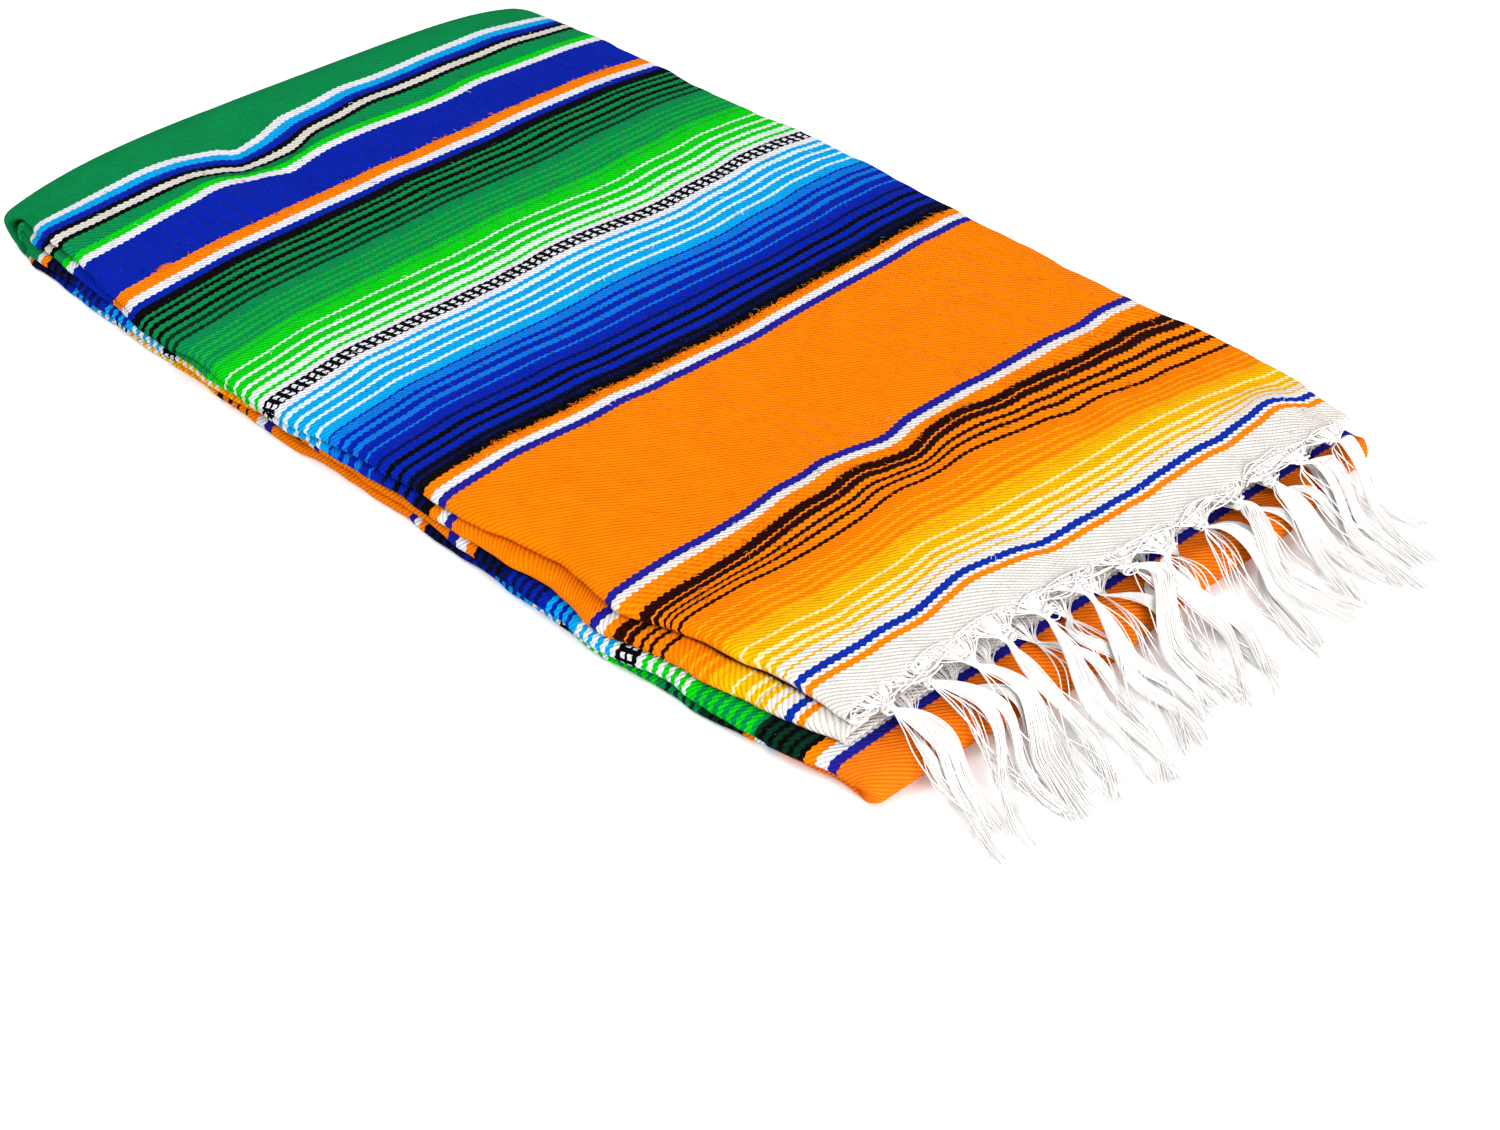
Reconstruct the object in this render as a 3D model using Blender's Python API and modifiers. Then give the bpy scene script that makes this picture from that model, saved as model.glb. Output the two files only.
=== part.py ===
"""A striped woven blanket, folded in four across its width and twice along its length.

The folded strip winds like a flat spiral, seen from its left side:
top stretch, back fold, under stretch, front fold, third stretch, inner turn, second stretch.
Both fringed ends lie at the front, one on the other. Units are metres, +Z is up,
the fringed ends face -Y and the floor is at Z = 0.
"""

import math
import random

import bpy
import mathutils
import numpy as np

# Driving sizes of the folded strip, in metres. Y counts from the top hem while it is built.
stack_height = 0.036
back_reach = 0.6155
front_reach = 0.029
wall = 0.0018
gap = 0.0004

# Heights of the strip's four stretches, as shares of the stack: under, third, second, top.
under_top = 0.22 * stack_height
third_top = 0.50 * stack_height
second_top = 0.76 * stack_height

# Turns of the strip, seen from the side: how far each one bulges past where it starts.
back_bulge = 0.024
front_bulge = 0.013
back_turn_y = back_reach - back_bulge
front_turn_y = -front_reach + front_bulge
inner_turn_y = back_turn_y + 0.002
inner_turn_bulge = 0.0096
hairpin_radius = 0.0004
# The back fold's edges are rolled in this far behind its crown.
back_fold_depth = 0.0085

# Steps round each turn.
back_fold_steps = 11
front_fold_steps = 10
inner_turn_steps = 9
inner_turn_start = -86.0

# The rolled edges: how far the roll is from its start, and how far the flap returns inside.
roll_depth = 0.0055
flap_length = 0.009
roll_steps = 6

# The hidden layers: steps round a tongue, places in a turn, and how far the halves overlap.
tongue_steps = 3
turn_angles = (0.0, 28.0, 50.0, 68.0)
layer_overlap = 0.0004
turn_slack = 0.001
hem_inset = 0.003
# Where a block meets the tongues, its points are spread by this share and never meet.
level_spread = 0.015
least_level = 0.001

# Points across the flat part of a stretch, and how much closer they are at its edges.
flat_count = 11
edge_crowding = 0.35

# Seams between the pieces.
lip_end_y = 0.036
second_hem_end_y = 0.042
layers_step_y = second_hem_end_y + 0.004

# Where the strip's edges lie, from the front to the back. Columns: y, then the distance
# from the middle to the left edge of the top, second, third and under stretch.
left_edges = np.array(
    [
        (-0.040, 0.170, 0.174, 0.186, 0.184),
        (0.000, 0.170, 0.176, 0.187, 0.182),
        (0.030, 0.172, 0.183, 0.193, 0.186),
        (0.060, 0.176, 0.189, 0.195, 0.192),
        (0.090, 0.181, 0.191, 0.194, 0.192),
        (0.130, 0.190, 0.198, 0.200, 0.195),
        (0.170, 0.184, 0.192, 0.197, 0.193),
        (0.210, 0.190, 0.194, 0.195, 0.191),
        (0.250, 0.193, 0.194, 0.191, 0.190),
        (0.290, 0.194, 0.194, 0.190, 0.188),
        (0.330, 0.198, 0.196, 0.190, 0.188),
        (0.370, 0.200, 0.196, 0.189, 0.190),
        (0.410, 0.196, 0.194, 0.191, 0.187),
        (0.450, 0.196, 0.192, 0.189, 0.186),
        (0.490, 0.188, 0.187, 0.188, 0.185),
        (0.530, 0.180, 0.182, 0.183, 0.182),
        (0.575, 0.177, 0.178, 0.180, 0.179),
        (0.615, 0.171, 0.171, 0.172, 0.172),
    ]
)
# The same columns for the right edge.
right_edges = np.array(
    [
        (-0.040, 0.183, 0.186, 0.192, 0.188),
        (0.000, 0.183, 0.186, 0.191, 0.187),
        (0.060, 0.186, 0.188, 0.191, 0.189),
        (0.135, 0.181, 0.183, 0.186, 0.184),
        (0.200, 0.182, 0.184, 0.187, 0.185),
        (0.250, 0.182, 0.184, 0.187, 0.185),
        (0.300, 0.184, 0.186, 0.189, 0.187),
        (0.360, 0.185, 0.187, 0.190, 0.188),
        (0.430, 0.181, 0.183, 0.186, 0.184),
        (0.480, 0.184, 0.186, 0.189, 0.187),
        (0.540, 0.184, 0.186, 0.187, 0.186),
        (0.575, 0.181, 0.182, 0.182, 0.182),
        (0.615, 0.173, 0.173, 0.173, 0.173),
    ]
)
TOP, SECOND, THIRD, UNDER = 1, 2, 3, 4

# Height of the stack along its length. Columns: y, height.
heights = np.array(
    [
        (-0.120, 0.0360),
        (-0.060, 0.0345),
        (-0.030, 0.0325),
        (0.000, 0.0325),
        (0.036, 0.0360),
        (0.075, 0.0374),
        (0.175, 0.0368),
        (0.325, 0.0362),
        (0.425, 0.0335),
        (0.470, 0.0318),
        (0.510, 0.0302),
        (0.575, 0.0288),
        (0.620, 0.0285),
    ]
)
# Every piece has a row at each of these places along the length, so that its faces stay
# parallel with those of the pieces around it.
row_places = (0.000, 0.014, 0.036, 0.046, 0.075, 0.125, 0.175, 0.225, 0.275, 0.325, 0.375)
row_places += (0.425, 0.470, 0.510, 0.550, 0.575)
least_row = 0.004

# Soft lumps and hollows in the stack. Columns: x, y, reach along x, reach along y, rise.
lumps = np.array(
    [
        (-0.060, 0.500, 0.045, 0.060, -0.0014),
        (0.070, 0.500, 0.060, 0.060, 0.0010),
        (0.090, 0.090, 0.050, 0.045, 0.0016),
        (-0.060, 0.110, 0.045, 0.050, 0.0012),
        (-0.100, 0.300, 0.060, 0.070, 0.0014),
        (0.060, 0.330, 0.060, 0.080, -0.0010),
        (0.020, 0.020, 0.045, 0.045, -0.0012),
        (-0.115, 0.030, 0.050, 0.045, 0.0010),
    ]
)
lumps_end_ys = (-0.060, 0.010)

# The top drops softly towards its long edges.
shoulder_drop = 0.0042
shoulder_power = 5
shoulder_x = 0.182

# The back fold lies aslant: how far it is out at the edges, and where along the stack.
back_slant = 0.0105
slant_x = 0.18
slant_ys = (0.40, 0.60)
# Its corners are rounded: how far each one lies forward at slant_x, and how sharp it is.
left_corner = 0.021
left_corner_power = 3
right_corner = 0.011
right_corner_power = 8
corner_ys = (0.55, 0.61)

# The hems lie a little forward and step further forward at one place. The levels are the
# shares of the stack's height between which this starts.
hem_shift = 0.001
hem_step = 0.005
hem_step_x = -0.01
hem_step_reach = 0.042
hem_step_end_ys = (0.02, 0.16)
hem_levels = (0.78, 0.92)

# The front fold and the fringe on it bow forward, and lie further back at the right corner.
fold_bow = 0.007
fold_bow_x = -0.045
fold_bow_reach = 0.050
fold_corner = 0.012
fold_corner_xs = (0.10, 0.19)
fold_bow_end_ys = (-0.030, -0.003)

# The knotted fringes. A narrow strip runs just ahead of each hem, and the locks leave it.
knot_count = 13
knot_ends = (-0.154, 0.157)
strip_depth = 0.0026
strip_gap = 0.0006
strip_height = 0.0020
root_width = 0.0028
fringe_reach = 0.101
shortest_reach = 0.076
least_room = 0.001
sway = 0.0005
sway_turn = 1.7

# A lock's way from the strip over the front fold to the floor. Columns: y, z, how far the
# locks of one knot lie apart, width, thickness. The last row's y is the lock's own reach.
top_locks = {
    "per_knot": 3,
    "root_pitch": 0.0046,
    "strip_ends": (-0.166, 0.168),
    "seed": 5,
    "rows": (
        (-0.0095, 0.0322, 0.0036, 0.0030, 0.0054),
        (-0.0140, 0.0300, 0.0042, 0.0028, 0.0028),
        (-0.0230, 0.0256, 0.0056, 0.0038, 0.0028),
        (-0.0320, 0.0196, 0.0061, 0.0040, 0.0028),
        (-0.0405, 0.0112, 0.0063, 0.0040, 0.0028),
        (-0.0500, 0.0046, 0.0064, 0.0038, 0.0028),
        (-0.0640, 0.0022, 0.0065, 0.0036, 0.0024),
        (None, 0.0017, 0.0066, 0.0020, 0.0018),
    ),
}
second_locks = {
    "per_knot": 2,
    "root_pitch": 0.0040,
    "strip_ends": (-0.160, 0.160),
    "seed": 8,
    "rows": (
        (-0.0095, 0.0204, 0.0030, 0.0025, 0.0034),
        (-0.0170, 0.0204, 0.0032, 0.0026, 0.0022),
        (-0.0265, 0.0190, 0.0032, 0.0026, 0.0022),
        (-0.0345, 0.0128, 0.0032, 0.0026, 0.0022),
        (-0.0415, 0.0046, 0.0032, 0.0026, 0.0022),
        (-0.0540, 0.0020, 0.0032, 0.0024, 0.0020),
        (None, 0.0017, 0.0032, 0.0016, 0.0016),
    ),
}
# How far the tips lean sideways. Columns: x of the root, lean.
leans = np.array([(-0.154, -0.024), (-0.050, -0.002), (0.080, 0.006), (0.157, 0.028)])

collection = bpy.data.collections.new("folded_blanket")


def clear_scene():
    for obj in list(bpy.data.objects):
        bpy.data.objects.remove(obj, do_unlink=True)
    bpy.context.scene.collection.children.link(collection)


def new_material(name, colour, roughness=0.95):
    material = bpy.data.materials.new(name)
    material.use_nodes = True
    shader = material.node_tree.nodes["Principled BSDF"]
    shader.inputs["Base Color"].default_value = (*colour, 1.0)
    shader.inputs["Roughness"].default_value = roughness
    shader.inputs["Metallic"].default_value = 0.0
    material.diffuse_color = (*colour, 1.0)
    return material


def smoothstep(value, start, end):
    t = np.clip((value - start) / (end - start), 0.0, 1.0)
    return t * t * (3.0 - 2.0 * t)


def half_widths(y, stretch):
    """The left and right edge of a stretch at y, both as positive distances."""
    left = np.interp(y, left_edges[:, 0], left_edges[:, stretch])
    right = np.interp(y, right_edges[:, 0], right_edges[:, stretch])
    return left, right


def relief(x, y):
    """How far the stack's top rises above its even height."""
    rise = -shoulder_drop * (np.abs(x) / shoulder_x) ** shoulder_power
    for x0, y0, reach_x, reach_y, lump in lumps:
        rise = rise + lump * np.exp(-(((x - x0) / reach_x) ** 2) - ((y - y0) / reach_y) ** 2)
    return rise * smoothstep(y, *lumps_end_ys)


def lay(points):
    """Lays the even stack down as it really lies: pressed, a little slanted and uneven."""
    x, y, z = points.T
    height = np.interp(y, heights[:, 0], heights[:, 1]) + relief(x, y)
    z_new = z * height / stack_height
    level = smoothstep(z / stack_height, *hem_levels)
    stepped = (1.0 - smoothstep(y, *hem_step_end_ys)) * level
    shift = -back_slant * x / slant_x * smoothstep(y, *slant_ys)
    corners = left_corner * (np.maximum(-x, 0.0) / slant_x) ** left_corner_power
    corners = corners + right_corner * (np.maximum(x, 0.0) / slant_x) ** right_corner_power
    shift = shift - corners * smoothstep(y, *corner_ys)
    hem_line = hem_shift + hem_step * np.tanh((x - hem_step_x) / hem_step_reach)
    shift = shift - hem_line * stepped
    bow = -fold_bow * np.exp(-(((x - fold_bow_x) / fold_bow_reach) ** 2))
    bow = bow + fold_corner * smoothstep(x, *fold_corner_xs)
    shift = shift + bow * (1.0 - smoothstep(y, *fold_bow_end_ys))
    return np.column_stack([x, y + shift, z_new])


def add_object(name, vertices, faces, material):
    mesh = bpy.data.meshes.new(name)
    mesh.from_pydata([tuple(v) for v in vertices], [], faces)
    mesh.update()
    obj = bpy.data.objects.new(name, mesh)
    obj.data.materials.append(material)
    collection.objects.link(obj)
    return obj


def apply_modifiers(obj):
    """Swaps the object's mesh for what its modifiers make of it."""
    graph = bpy.context.evaluated_depsgraph_get()
    finished = bpy.data.meshes.new_from_object(obj.evaluated_get(graph))
    obj.modifiers.clear()
    obj.data = finished


def lay_object(obj):
    points = np.empty(len(obj.data.vertices) * 3, np.float32)
    obj.data.vertices.foreach_get("co", points)
    points = lay(points.reshape(-1, 3).astype(float))
    obj.data.vertices.foreach_set("co", points.astype(np.float32).ravel())
    obj.data.update()
    obj.data.shade_smooth()


def grid_faces(rows, columns):
    """Quads between the points of a grid, row after row."""
    return [
        (r * columns + c, r * columns + c + 1, (r + 1) * columns + c + 1, (r + 1) * columns + c)
        for r in range(rows - 1)
        for c in range(columns - 1)
    ]


def station(outer, inner, y, stretch, next_stretch=None, share=0.0):
    """One place along the strip: its two faces in the YZ plane, and its two edges."""
    left, right = half_widths(y, stretch)
    if next_stretch is not None:
        left_next, right_next = half_widths(y, next_stretch)
        left = left + (left_next - left) * share
        right = right + (right_next - right) * share
    return {"outer": np.array(outer), "inner": np.array(inner), "left": left, "right": right}


def rows_between(y_from, y_to):
    """The shared row places between two ends, with the ends themselves."""
    low, high = min(y_from, y_to), max(y_from, y_to)
    inside = [y for y in row_places if low + least_row < y < high - least_row]
    places = [low, *inside, high]
    return places if y_from < y_to else places[::-1]


def straight(stretch, outer_z, inner_z, y_from, y_to):
    ys = rows_between(y_from, y_to)
    return [station((y, outer_z), (y, inner_z), y, stretch) for y in ys]


def turn(centre_y, outer_axes, inner_axes, centre_z, angles, stretch, next_stretch):
    """A fold round the X axis. Axes are: along y, up, down, of the outer and inner face."""
    stations = []
    for step, degrees in enumerate(angles):
        sine, cosine = math.sin(math.radians(degrees)), math.cos(math.radians(degrees))
        ends = []
        for along, up, down in (outer_axes, inner_axes):
            rise = up if sine > 0 else down
            ends.append((centre_y + along * cosine, centre_z + rise * sine))
        share = step / (len(angles) - 1)
        stations.append(station(ends[0], ends[1], centre_y, stretch, next_stretch, share))
    return stations


def flat_columns(count):
    """Shares of the flat part between the rolls, closer together near them."""
    t = np.linspace(-1.0, 1.0, count)
    return np.sin(t * math.pi / 2) * edge_crowding + t * (1.0 - edge_crowding)


def half_profile(depth, with_flap=True):
    """The roll at one edge as (distance in from the edge, depth) rows, flap first."""
    rows = []
    if with_flap:
        rows.append((roll_depth + flap_length, depth))
    for step in range(roll_steps + 1):
        angle = math.pi * step / roll_steps
        inset = roll_depth * (1.0 - math.sin(angle))
        rows.append((inset, depth / 2 + depth / 2 * math.cos(angle)))
    return rows


def channel_points(place, columns):
    """One row of a wall with both edges rolled: left roll, flat part, right roll."""
    depth_vector = place["inner"] - place["outer"]
    depth = float(np.linalg.norm(depth_vector))
    profile = half_profile(depth)
    rows = [(-place["left"] + inset, d) for inset, d in profile]
    start = -place["left"] + roll_depth
    end = place["right"] - roll_depth
    for share in flat_columns(columns)[1:-1]:
        rows.append((start + (end - start) * (share + 1) / 2, 0.0))
    rows += [(place["right"] - inset, d) for inset, d in reversed(profile)]
    return place_rows(rows, place, depth_vector, depth)


def edge_points(place, side):
    """One row of a rolled edge alone, with a flap on each face. Side is -1 left, 1 right."""
    depth_vector = place["inner"] - place["outer"]
    depth = float(np.linalg.norm(depth_vector))
    reach = place["left"] if side < 0 else place["right"]
    profile = half_profile(depth) + [(roll_depth + flap_length, 0.0)]
    if side > 0:
        profile = profile[::-1]
    rows = [(side * (reach - inset), d) for inset, d in profile]
    return place_rows(rows, place, depth_vector, depth)


def place_rows(rows, place, depth_vector, depth):
    direction = depth_vector / depth
    return [(x, *(place["outer"] + direction * d)) for x, d in rows]


def make_wall(name, rows, material, thickness=wall):
    """A sheet through the rows, given its thickness inwards and then laid down."""
    columns = len(rows[0])
    vertices = [point for row in rows for point in row]
    obj = add_object(name, vertices, grid_faces(len(rows), columns), material)
    solidify = obj.modifiers.new("cloth", "SOLIDIFY")
    solidify.thickness = thickness
    solidify.offset = -1.0
    solidify.use_even_offset = True
    apply_modifiers(obj)
    lay_object(obj)
    return obj


def top_stretch(material):
    places = straight(TOP, stack_height, second_top + gap, 0.0, back_turn_y)
    rows = [channel_points(place, flat_count) for place in places]
    return make_wall("top_stretch", rows, material)


def back_fold(material):
    middle = third_top
    outer = (back_bulge, stack_height - middle, middle)
    reach = back_bulge - back_fold_depth
    inner = (reach, second_top + gap - middle, middle - under_top + gap)
    angles = np.linspace(90, -90, back_fold_steps)
    places = turn(back_turn_y + gap, outer, inner, middle, angles, TOP, UNDER)
    rows = [channel_points(place, flat_count) for place in places]
    return make_wall("back_fold", rows, material)


def under_stretch(material):
    places = straight(UNDER, 0.0, under_top - gap, back_turn_y, front_turn_y + gap)
    rows = [channel_points(place, flat_count) for place in places]
    return make_wall("under_stretch", rows, material)


def front_fold(material):
    outer = (front_bulge, third_top - under_top, under_top)
    inner = (hairpin_radius, hairpin_radius, hairpin_radius)
    angles = np.linspace(-90, -270, front_fold_steps)
    places = turn(front_turn_y, outer, inner, under_top, angles, UNDER, THIRD)
    places += straight(THIRD, third_top, under_top + gap, front_turn_y, lip_end_y)[1:]
    rows = [channel_points(place, flat_count) for place in places]
    return make_wall("front_fold", rows, material)


def third_edge(side, material):
    places = straight(THIRD, third_top, under_top + gap, lip_end_y + gap, inner_turn_y)
    rows = [edge_points(place, side) for place in places]
    side_name = "left" if side < 0 else "right"
    return make_wall(f"third_stretch_{side_name}_edge", rows, material)


def second_edge(side, material):
    """The second stretch's edge, with the tight inner turn that joins it to the third."""
    outer = (hairpin_radius, hairpin_radius, hairpin_radius)
    inner = (inner_turn_bulge, second_top - gap - third_top, third_top - under_top - gap)
    angles = np.linspace(inner_turn_start, 90, inner_turn_steps)
    places = turn(inner_turn_y + gap, outer, inner, third_top, angles, THIRD, SECOND)
    hem_seam = second_hem_end_y + gap
    places += straight(SECOND, third_top + gap, second_top - gap, inner_turn_y, hem_seam)
    rows = [edge_points(place, side) for place in places]
    side_name = "left" if side < 0 else "right"
    return make_wall(f"second_stretch_{side_name}_edge", rows, material)


def second_hem(material):
    places = straight(SECOND, third_top + gap, second_top - gap, second_hem_end_y, 0.0)
    rows = [channel_points(place, flat_count) for place in places]
    return make_wall("second_hem", rows, material)


def stretch_faces(stretch):
    """The lowest and highest height of a stretch's rolled edges."""
    return {
        UNDER: (0.0, under_top - gap),
        THIRD: (under_top + gap, third_top),
        SECOND: (third_top + gap, second_top - gap),
        TOP: (second_top + gap, stack_height),
    }[stretch]


def slot_half_width(y, stretches):
    """How far out the hidden layers reach between the flaps of the rolled edges."""
    edges = [half_widths(y, stretch) for stretch in (TOP, SECOND, THIRD, UNDER)]
    reach = float(np.min(edges)) - roll_depth - flap_length - gap
    return reach - gap if TOP in stretches else reach


def tongue_side(y, stretches, side):
    """One side of the hidden layers, from below to above: a rounded tongue in each roll."""
    slot = slot_half_width(y, stretches)
    inset = wall + gap
    points = []
    for stretch in stretches:
        low, high = stretch_faces(stretch)
        left, right = half_widths(y, stretch)
        start = (left if side < 0 else right) - roll_depth
        middle = (low + high) / 2
        rise = (high - low) / 2 - inset
        points.append((slot, middle - rise))
        for step in range(tongue_steps + 1):
            angle = math.pi * (step / tongue_steps - 0.5)
            reach = start + (roll_depth - inset) * math.cos(angle)
            points.append((reach, middle + rise * math.sin(angle)))
        points.append((slot, middle + rise))
    return [(side * x, z) for x, z in points]


def block_levels(side_points, bottom, top, even):
    """Heights down a block's plain side, in step with the tongues but no two the same."""
    tongue_levels = np.array([z for _, z in side_points])
    shares = (tongue_levels - even[0]) / (even[1] - even[0])
    even_shares = np.linspace(0.0, 1.0, len(shares))
    shares = (1.0 - level_spread) * shares + level_spread * even_shares
    edge = least_level * (1.0 + np.arange(len(shares)))
    shares = np.clip(shares, edge, 1.0 - edge[::-1])
    return bottom + (top - bottom) * shares


def layers_ring(y, stretches, bottom, top, block=None):
    """A closed section of the hidden layers.

    A block is plain, with no tongues, and gives the bottom and top of the section
    with tongues that it carries on from.
    """
    slot = slot_half_width(y, stretches)
    bottom_shares = flat_columns(flat_count if TOP in stretches else 2)
    sides = {}
    for side in (-1, 1):
        sides[side] = tongue_side(y, stretches, side)
        if block:
            levels = block_levels(sides[side], bottom, top, block)
            sides[side] = [(side * slot, z) for z in levels]
    ring = [(share * slot, bottom) for share in bottom_shares]
    ring += sides[1]
    ring += [(share * slot, top) for share in flat_columns(flat_count)[::-1]]
    ring += sides[-1][::-1]
    return [(x, y, z) for x, z in ring]


def loft_closed(name, rings, material):
    """A solid through closed rings, with a flat cap at both ends."""
    count = len(rings[0])
    vertices = [point for ring in rings for point in ring]
    faces = []
    for r in range(len(rings) - 1):
        for c in range(count):
            after = (c + 1) % count
            near, far = r * count, (r + 1) * count
            faces.append((near + after, near + c, far + c, far + after))
    faces.append(tuple(range(count)))
    faces.append(tuple(range((len(rings) - 1) * count, len(rings) * count))[::-1])
    return add_object(name, vertices, faces, material)


def turn_section(y, reach, up, down, middle, degrees):
    """Where a block ends inside a turn: its y, and its lowest and highest height."""
    sine, cosine = math.sin(math.radians(degrees)), math.cos(math.radians(degrees))
    return y + reach * sine, middle - down * cosine, middle + up * cosine


def lower_layers(material):
    """The inner plies of the under and third stretches."""
    inset = wall + 2 * gap
    low = inset
    under_lip = third_top - inset
    joined = third_top + layer_overlap
    rings = []
    for degrees in turn_angles[::-1]:
        reach = front_bulge - inset - turn_slack
        y, bottom, top = turn_section(
            front_turn_y, -reach, under_lip - under_top, under_top - inset, under_top, degrees
        )
        rings.append(layers_ring(y, (UNDER, THIRD), bottom, top, (low, under_lip)))
    for y in rows_between(front_turn_y + gap, layers_step_y):
        rings.append(layers_ring(y, (UNDER, THIRD), low, under_lip))
    for y in rows_between(layers_step_y + gap, back_turn_y - gap):
        rings.append(layers_ring(y, (UNDER, THIRD), low, joined))
    for degrees in turn_angles:
        y, bottom, _ = turn_section(
            back_turn_y, back_bulge - inset, 0.0, third_top - inset, third_top, degrees
        )
        rings.append(layers_ring(y, (UNDER, THIRD), bottom, joined, (low, joined)))
    return loft_closed("lower_layers", rings, material)


def upper_layers(material):
    """The inner plies of the second and top stretches."""
    inset = wall + 2 * gap
    high = stack_height - inset
    over_hem = third_top + gap + inset
    joined = third_top - layer_overlap
    rings = []
    for y in rows_between(hem_inset, layers_step_y):
        rings.append(layers_ring(y, (SECOND, TOP), over_hem, high))
    for y in rows_between(layers_step_y + gap, back_turn_y - gap):
        rings.append(layers_ring(y, (SECOND, TOP), joined, high))
    for degrees in turn_angles:
        y, _, top = turn_section(
            back_turn_y - gap / 2, back_bulge - inset, high - third_top, 0.0, third_top, degrees
        )
        rings.append(layers_ring(y, (SECOND, TOP), joined, top, (joined, high)))
    return loft_closed("upper_layers", rings, material)


def hidden_layers(material):
    lower = lower_layers(material)
    upper = upper_layers(material)
    union = lower.modifiers.new("joined layers", "BOOLEAN")
    union.operation = "UNION"
    union.solver = "MANIFOLD"
    union.object = upper
    apply_modifiers(lower)
    bpy.data.objects.remove(upper, do_unlink=True)
    lower.name = "hidden_layers"
    lay_object(lower)
    return lower


def lock_rows(root_x, offset, locks, chance):
    """The closed sections of one lock, four corners each, from its root to its tip."""
    reach = chance.uniform(shortest_reach, fringe_reach - least_room)
    lean = np.interp(root_x, leans[:, 0], leans[:, 1])
    phase = chance.uniform(0.0, 2 * math.pi)
    centres, sizes = [], []
    for number, (y, z, pitch, width, thickness) in enumerate(locks["rows"]):
        y = -reach if y is None else y
        share = (y / -fringe_reach) ** 2
        bend = sway * math.sin(phase + sway_turn * number)
        x = root_x + offset * pitch + lean * share + bend
        centres.append((x, y, z))
        sizes.append((width / 2, thickness / 2))
    centres = np.array(centres)
    travel = np.gradient(centres, axis=0)
    travel /= np.linalg.norm(travel, axis=1)[:, None]
    across = np.array([1.0, 0.0, 0.0]) - travel * travel[:, :1]
    across /= np.linalg.norm(across, axis=1)[:, None]
    upward = np.cross(travel, across)
    rows = []
    for centre, side, up, (half, thick) in zip(centres, across, upward, sizes):
        corners = ((-half, -thick), (half, -thick), (half, thick), (-half, thick))
        rows.append([tuple(centre + side * a + up * b) for a, b in corners])
    return rows


def fringe(name, xs, strip_low, locks, material):
    """A strip along the hem with its knotted locks, all one closed solid."""
    chance = random.Random(locks["seed"])
    offsets = np.arange(locks["per_knot"]) - (locks["per_knot"] - 1) / 2
    roots = [(x, offset) for x in xs for offset in offsets]
    stations = [locks["strip_ends"][0]]
    for x, offset in roots:
        middle = x + offset * locks["root_pitch"]
        stations += [middle - root_width / 2, middle + root_width / 2]
    stations.append(locks["strip_ends"][1])
    front, back = -strip_gap - strip_depth, -strip_gap
    low, high = strip_low, strip_low + strip_height
    vertices = []
    for x in stations:
        vertices += [(x, front, low), (x, front, high), (x, back, high), (x, back, low)]
    faces = [(0, 1, 2, 3)]
    for i in range(len(stations) - 1):
        a, b = 4 * i, 4 * (i + 1)
        faces += [(a + 1, b + 1, b + 2, a + 2), (a + 3, a + 2, b + 2, b + 3), (a, a + 3, b + 3, b)]
        if i % 2 == 0:
            faces.append((a, b, b + 1, a + 1))
            continue
        ring = [a, b, b + 1, a + 1]
        for row in lock_rows(*roots[i // 2], locks, chance):
            start = len(vertices)
            vertices += row
            new_ring = [start + corner for corner in range(4)]
            for c in range(4):
                after = (c + 1) % 4
                faces.append((ring[c], ring[after], new_ring[after], new_ring[c]))
            ring = new_ring
        faces.append(tuple(ring))
    last = 4 * (len(stations) - 1)
    faces.append((last + 3, last + 2, last + 1, last))
    obj = add_object(name, vertices, faces, material)
    lay_object(obj)
    return obj


def fringes(material):
    xs = np.linspace(*knot_ends, knot_count)
    between = (xs[1:] + xs[:-1]) / 2
    fringe("top_fringe", xs, stack_height - strip_height, top_locks, material)
    fringe("second_fringe", between, third_top + gap, second_locks, material)


def centre_parts():
    """Moves every piece so that the origin is under the middle of the whole outline."""
    points = np.array([v.co[:] for obj in collection.objects for v in obj.data.vertices])
    middle = (points.min(axis=0) + points.max(axis=0)) / 2
    for obj in collection.objects:
        obj.data.transform(mathutils.Matrix.Translation((-middle[0], -middle[1], 0.0)))


def main():
    clear_scene()
    striped = new_material("striped_cloth", (0.50, 0.22, 0.08))
    top_stretch(striped)
    back_fold(new_material("green_cloth", (0.01, 0.25, 0.07)))
    under_stretch(striped)
    front_fold(new_material("orange_cloth", (0.95, 0.22, 0.01)))
    for side in (-1, 1):
        third_edge(side, striped)
        second_edge(side, striped)
    second_hem(striped)
    hidden_layers(striped)
    fringes(new_material("white_warp", (0.84, 0.80, 0.76)))
    centre_parts()


main()
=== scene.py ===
import math

import bpy
import numpy as np
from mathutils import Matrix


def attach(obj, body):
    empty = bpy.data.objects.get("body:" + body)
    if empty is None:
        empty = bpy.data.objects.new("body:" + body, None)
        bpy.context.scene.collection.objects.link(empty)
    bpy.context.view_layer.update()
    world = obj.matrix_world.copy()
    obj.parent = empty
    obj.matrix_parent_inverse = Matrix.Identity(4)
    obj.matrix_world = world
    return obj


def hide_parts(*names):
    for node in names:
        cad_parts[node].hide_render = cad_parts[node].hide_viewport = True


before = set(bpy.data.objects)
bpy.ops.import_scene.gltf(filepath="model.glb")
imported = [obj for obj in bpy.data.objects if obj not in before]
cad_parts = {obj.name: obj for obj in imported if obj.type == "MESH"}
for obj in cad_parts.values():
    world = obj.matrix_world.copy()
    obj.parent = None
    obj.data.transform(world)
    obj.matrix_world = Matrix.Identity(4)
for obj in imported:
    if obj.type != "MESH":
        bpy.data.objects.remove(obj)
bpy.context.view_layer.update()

scene = bpy.context.scene
print("frame loaded,", len(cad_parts), "nodes")

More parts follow.
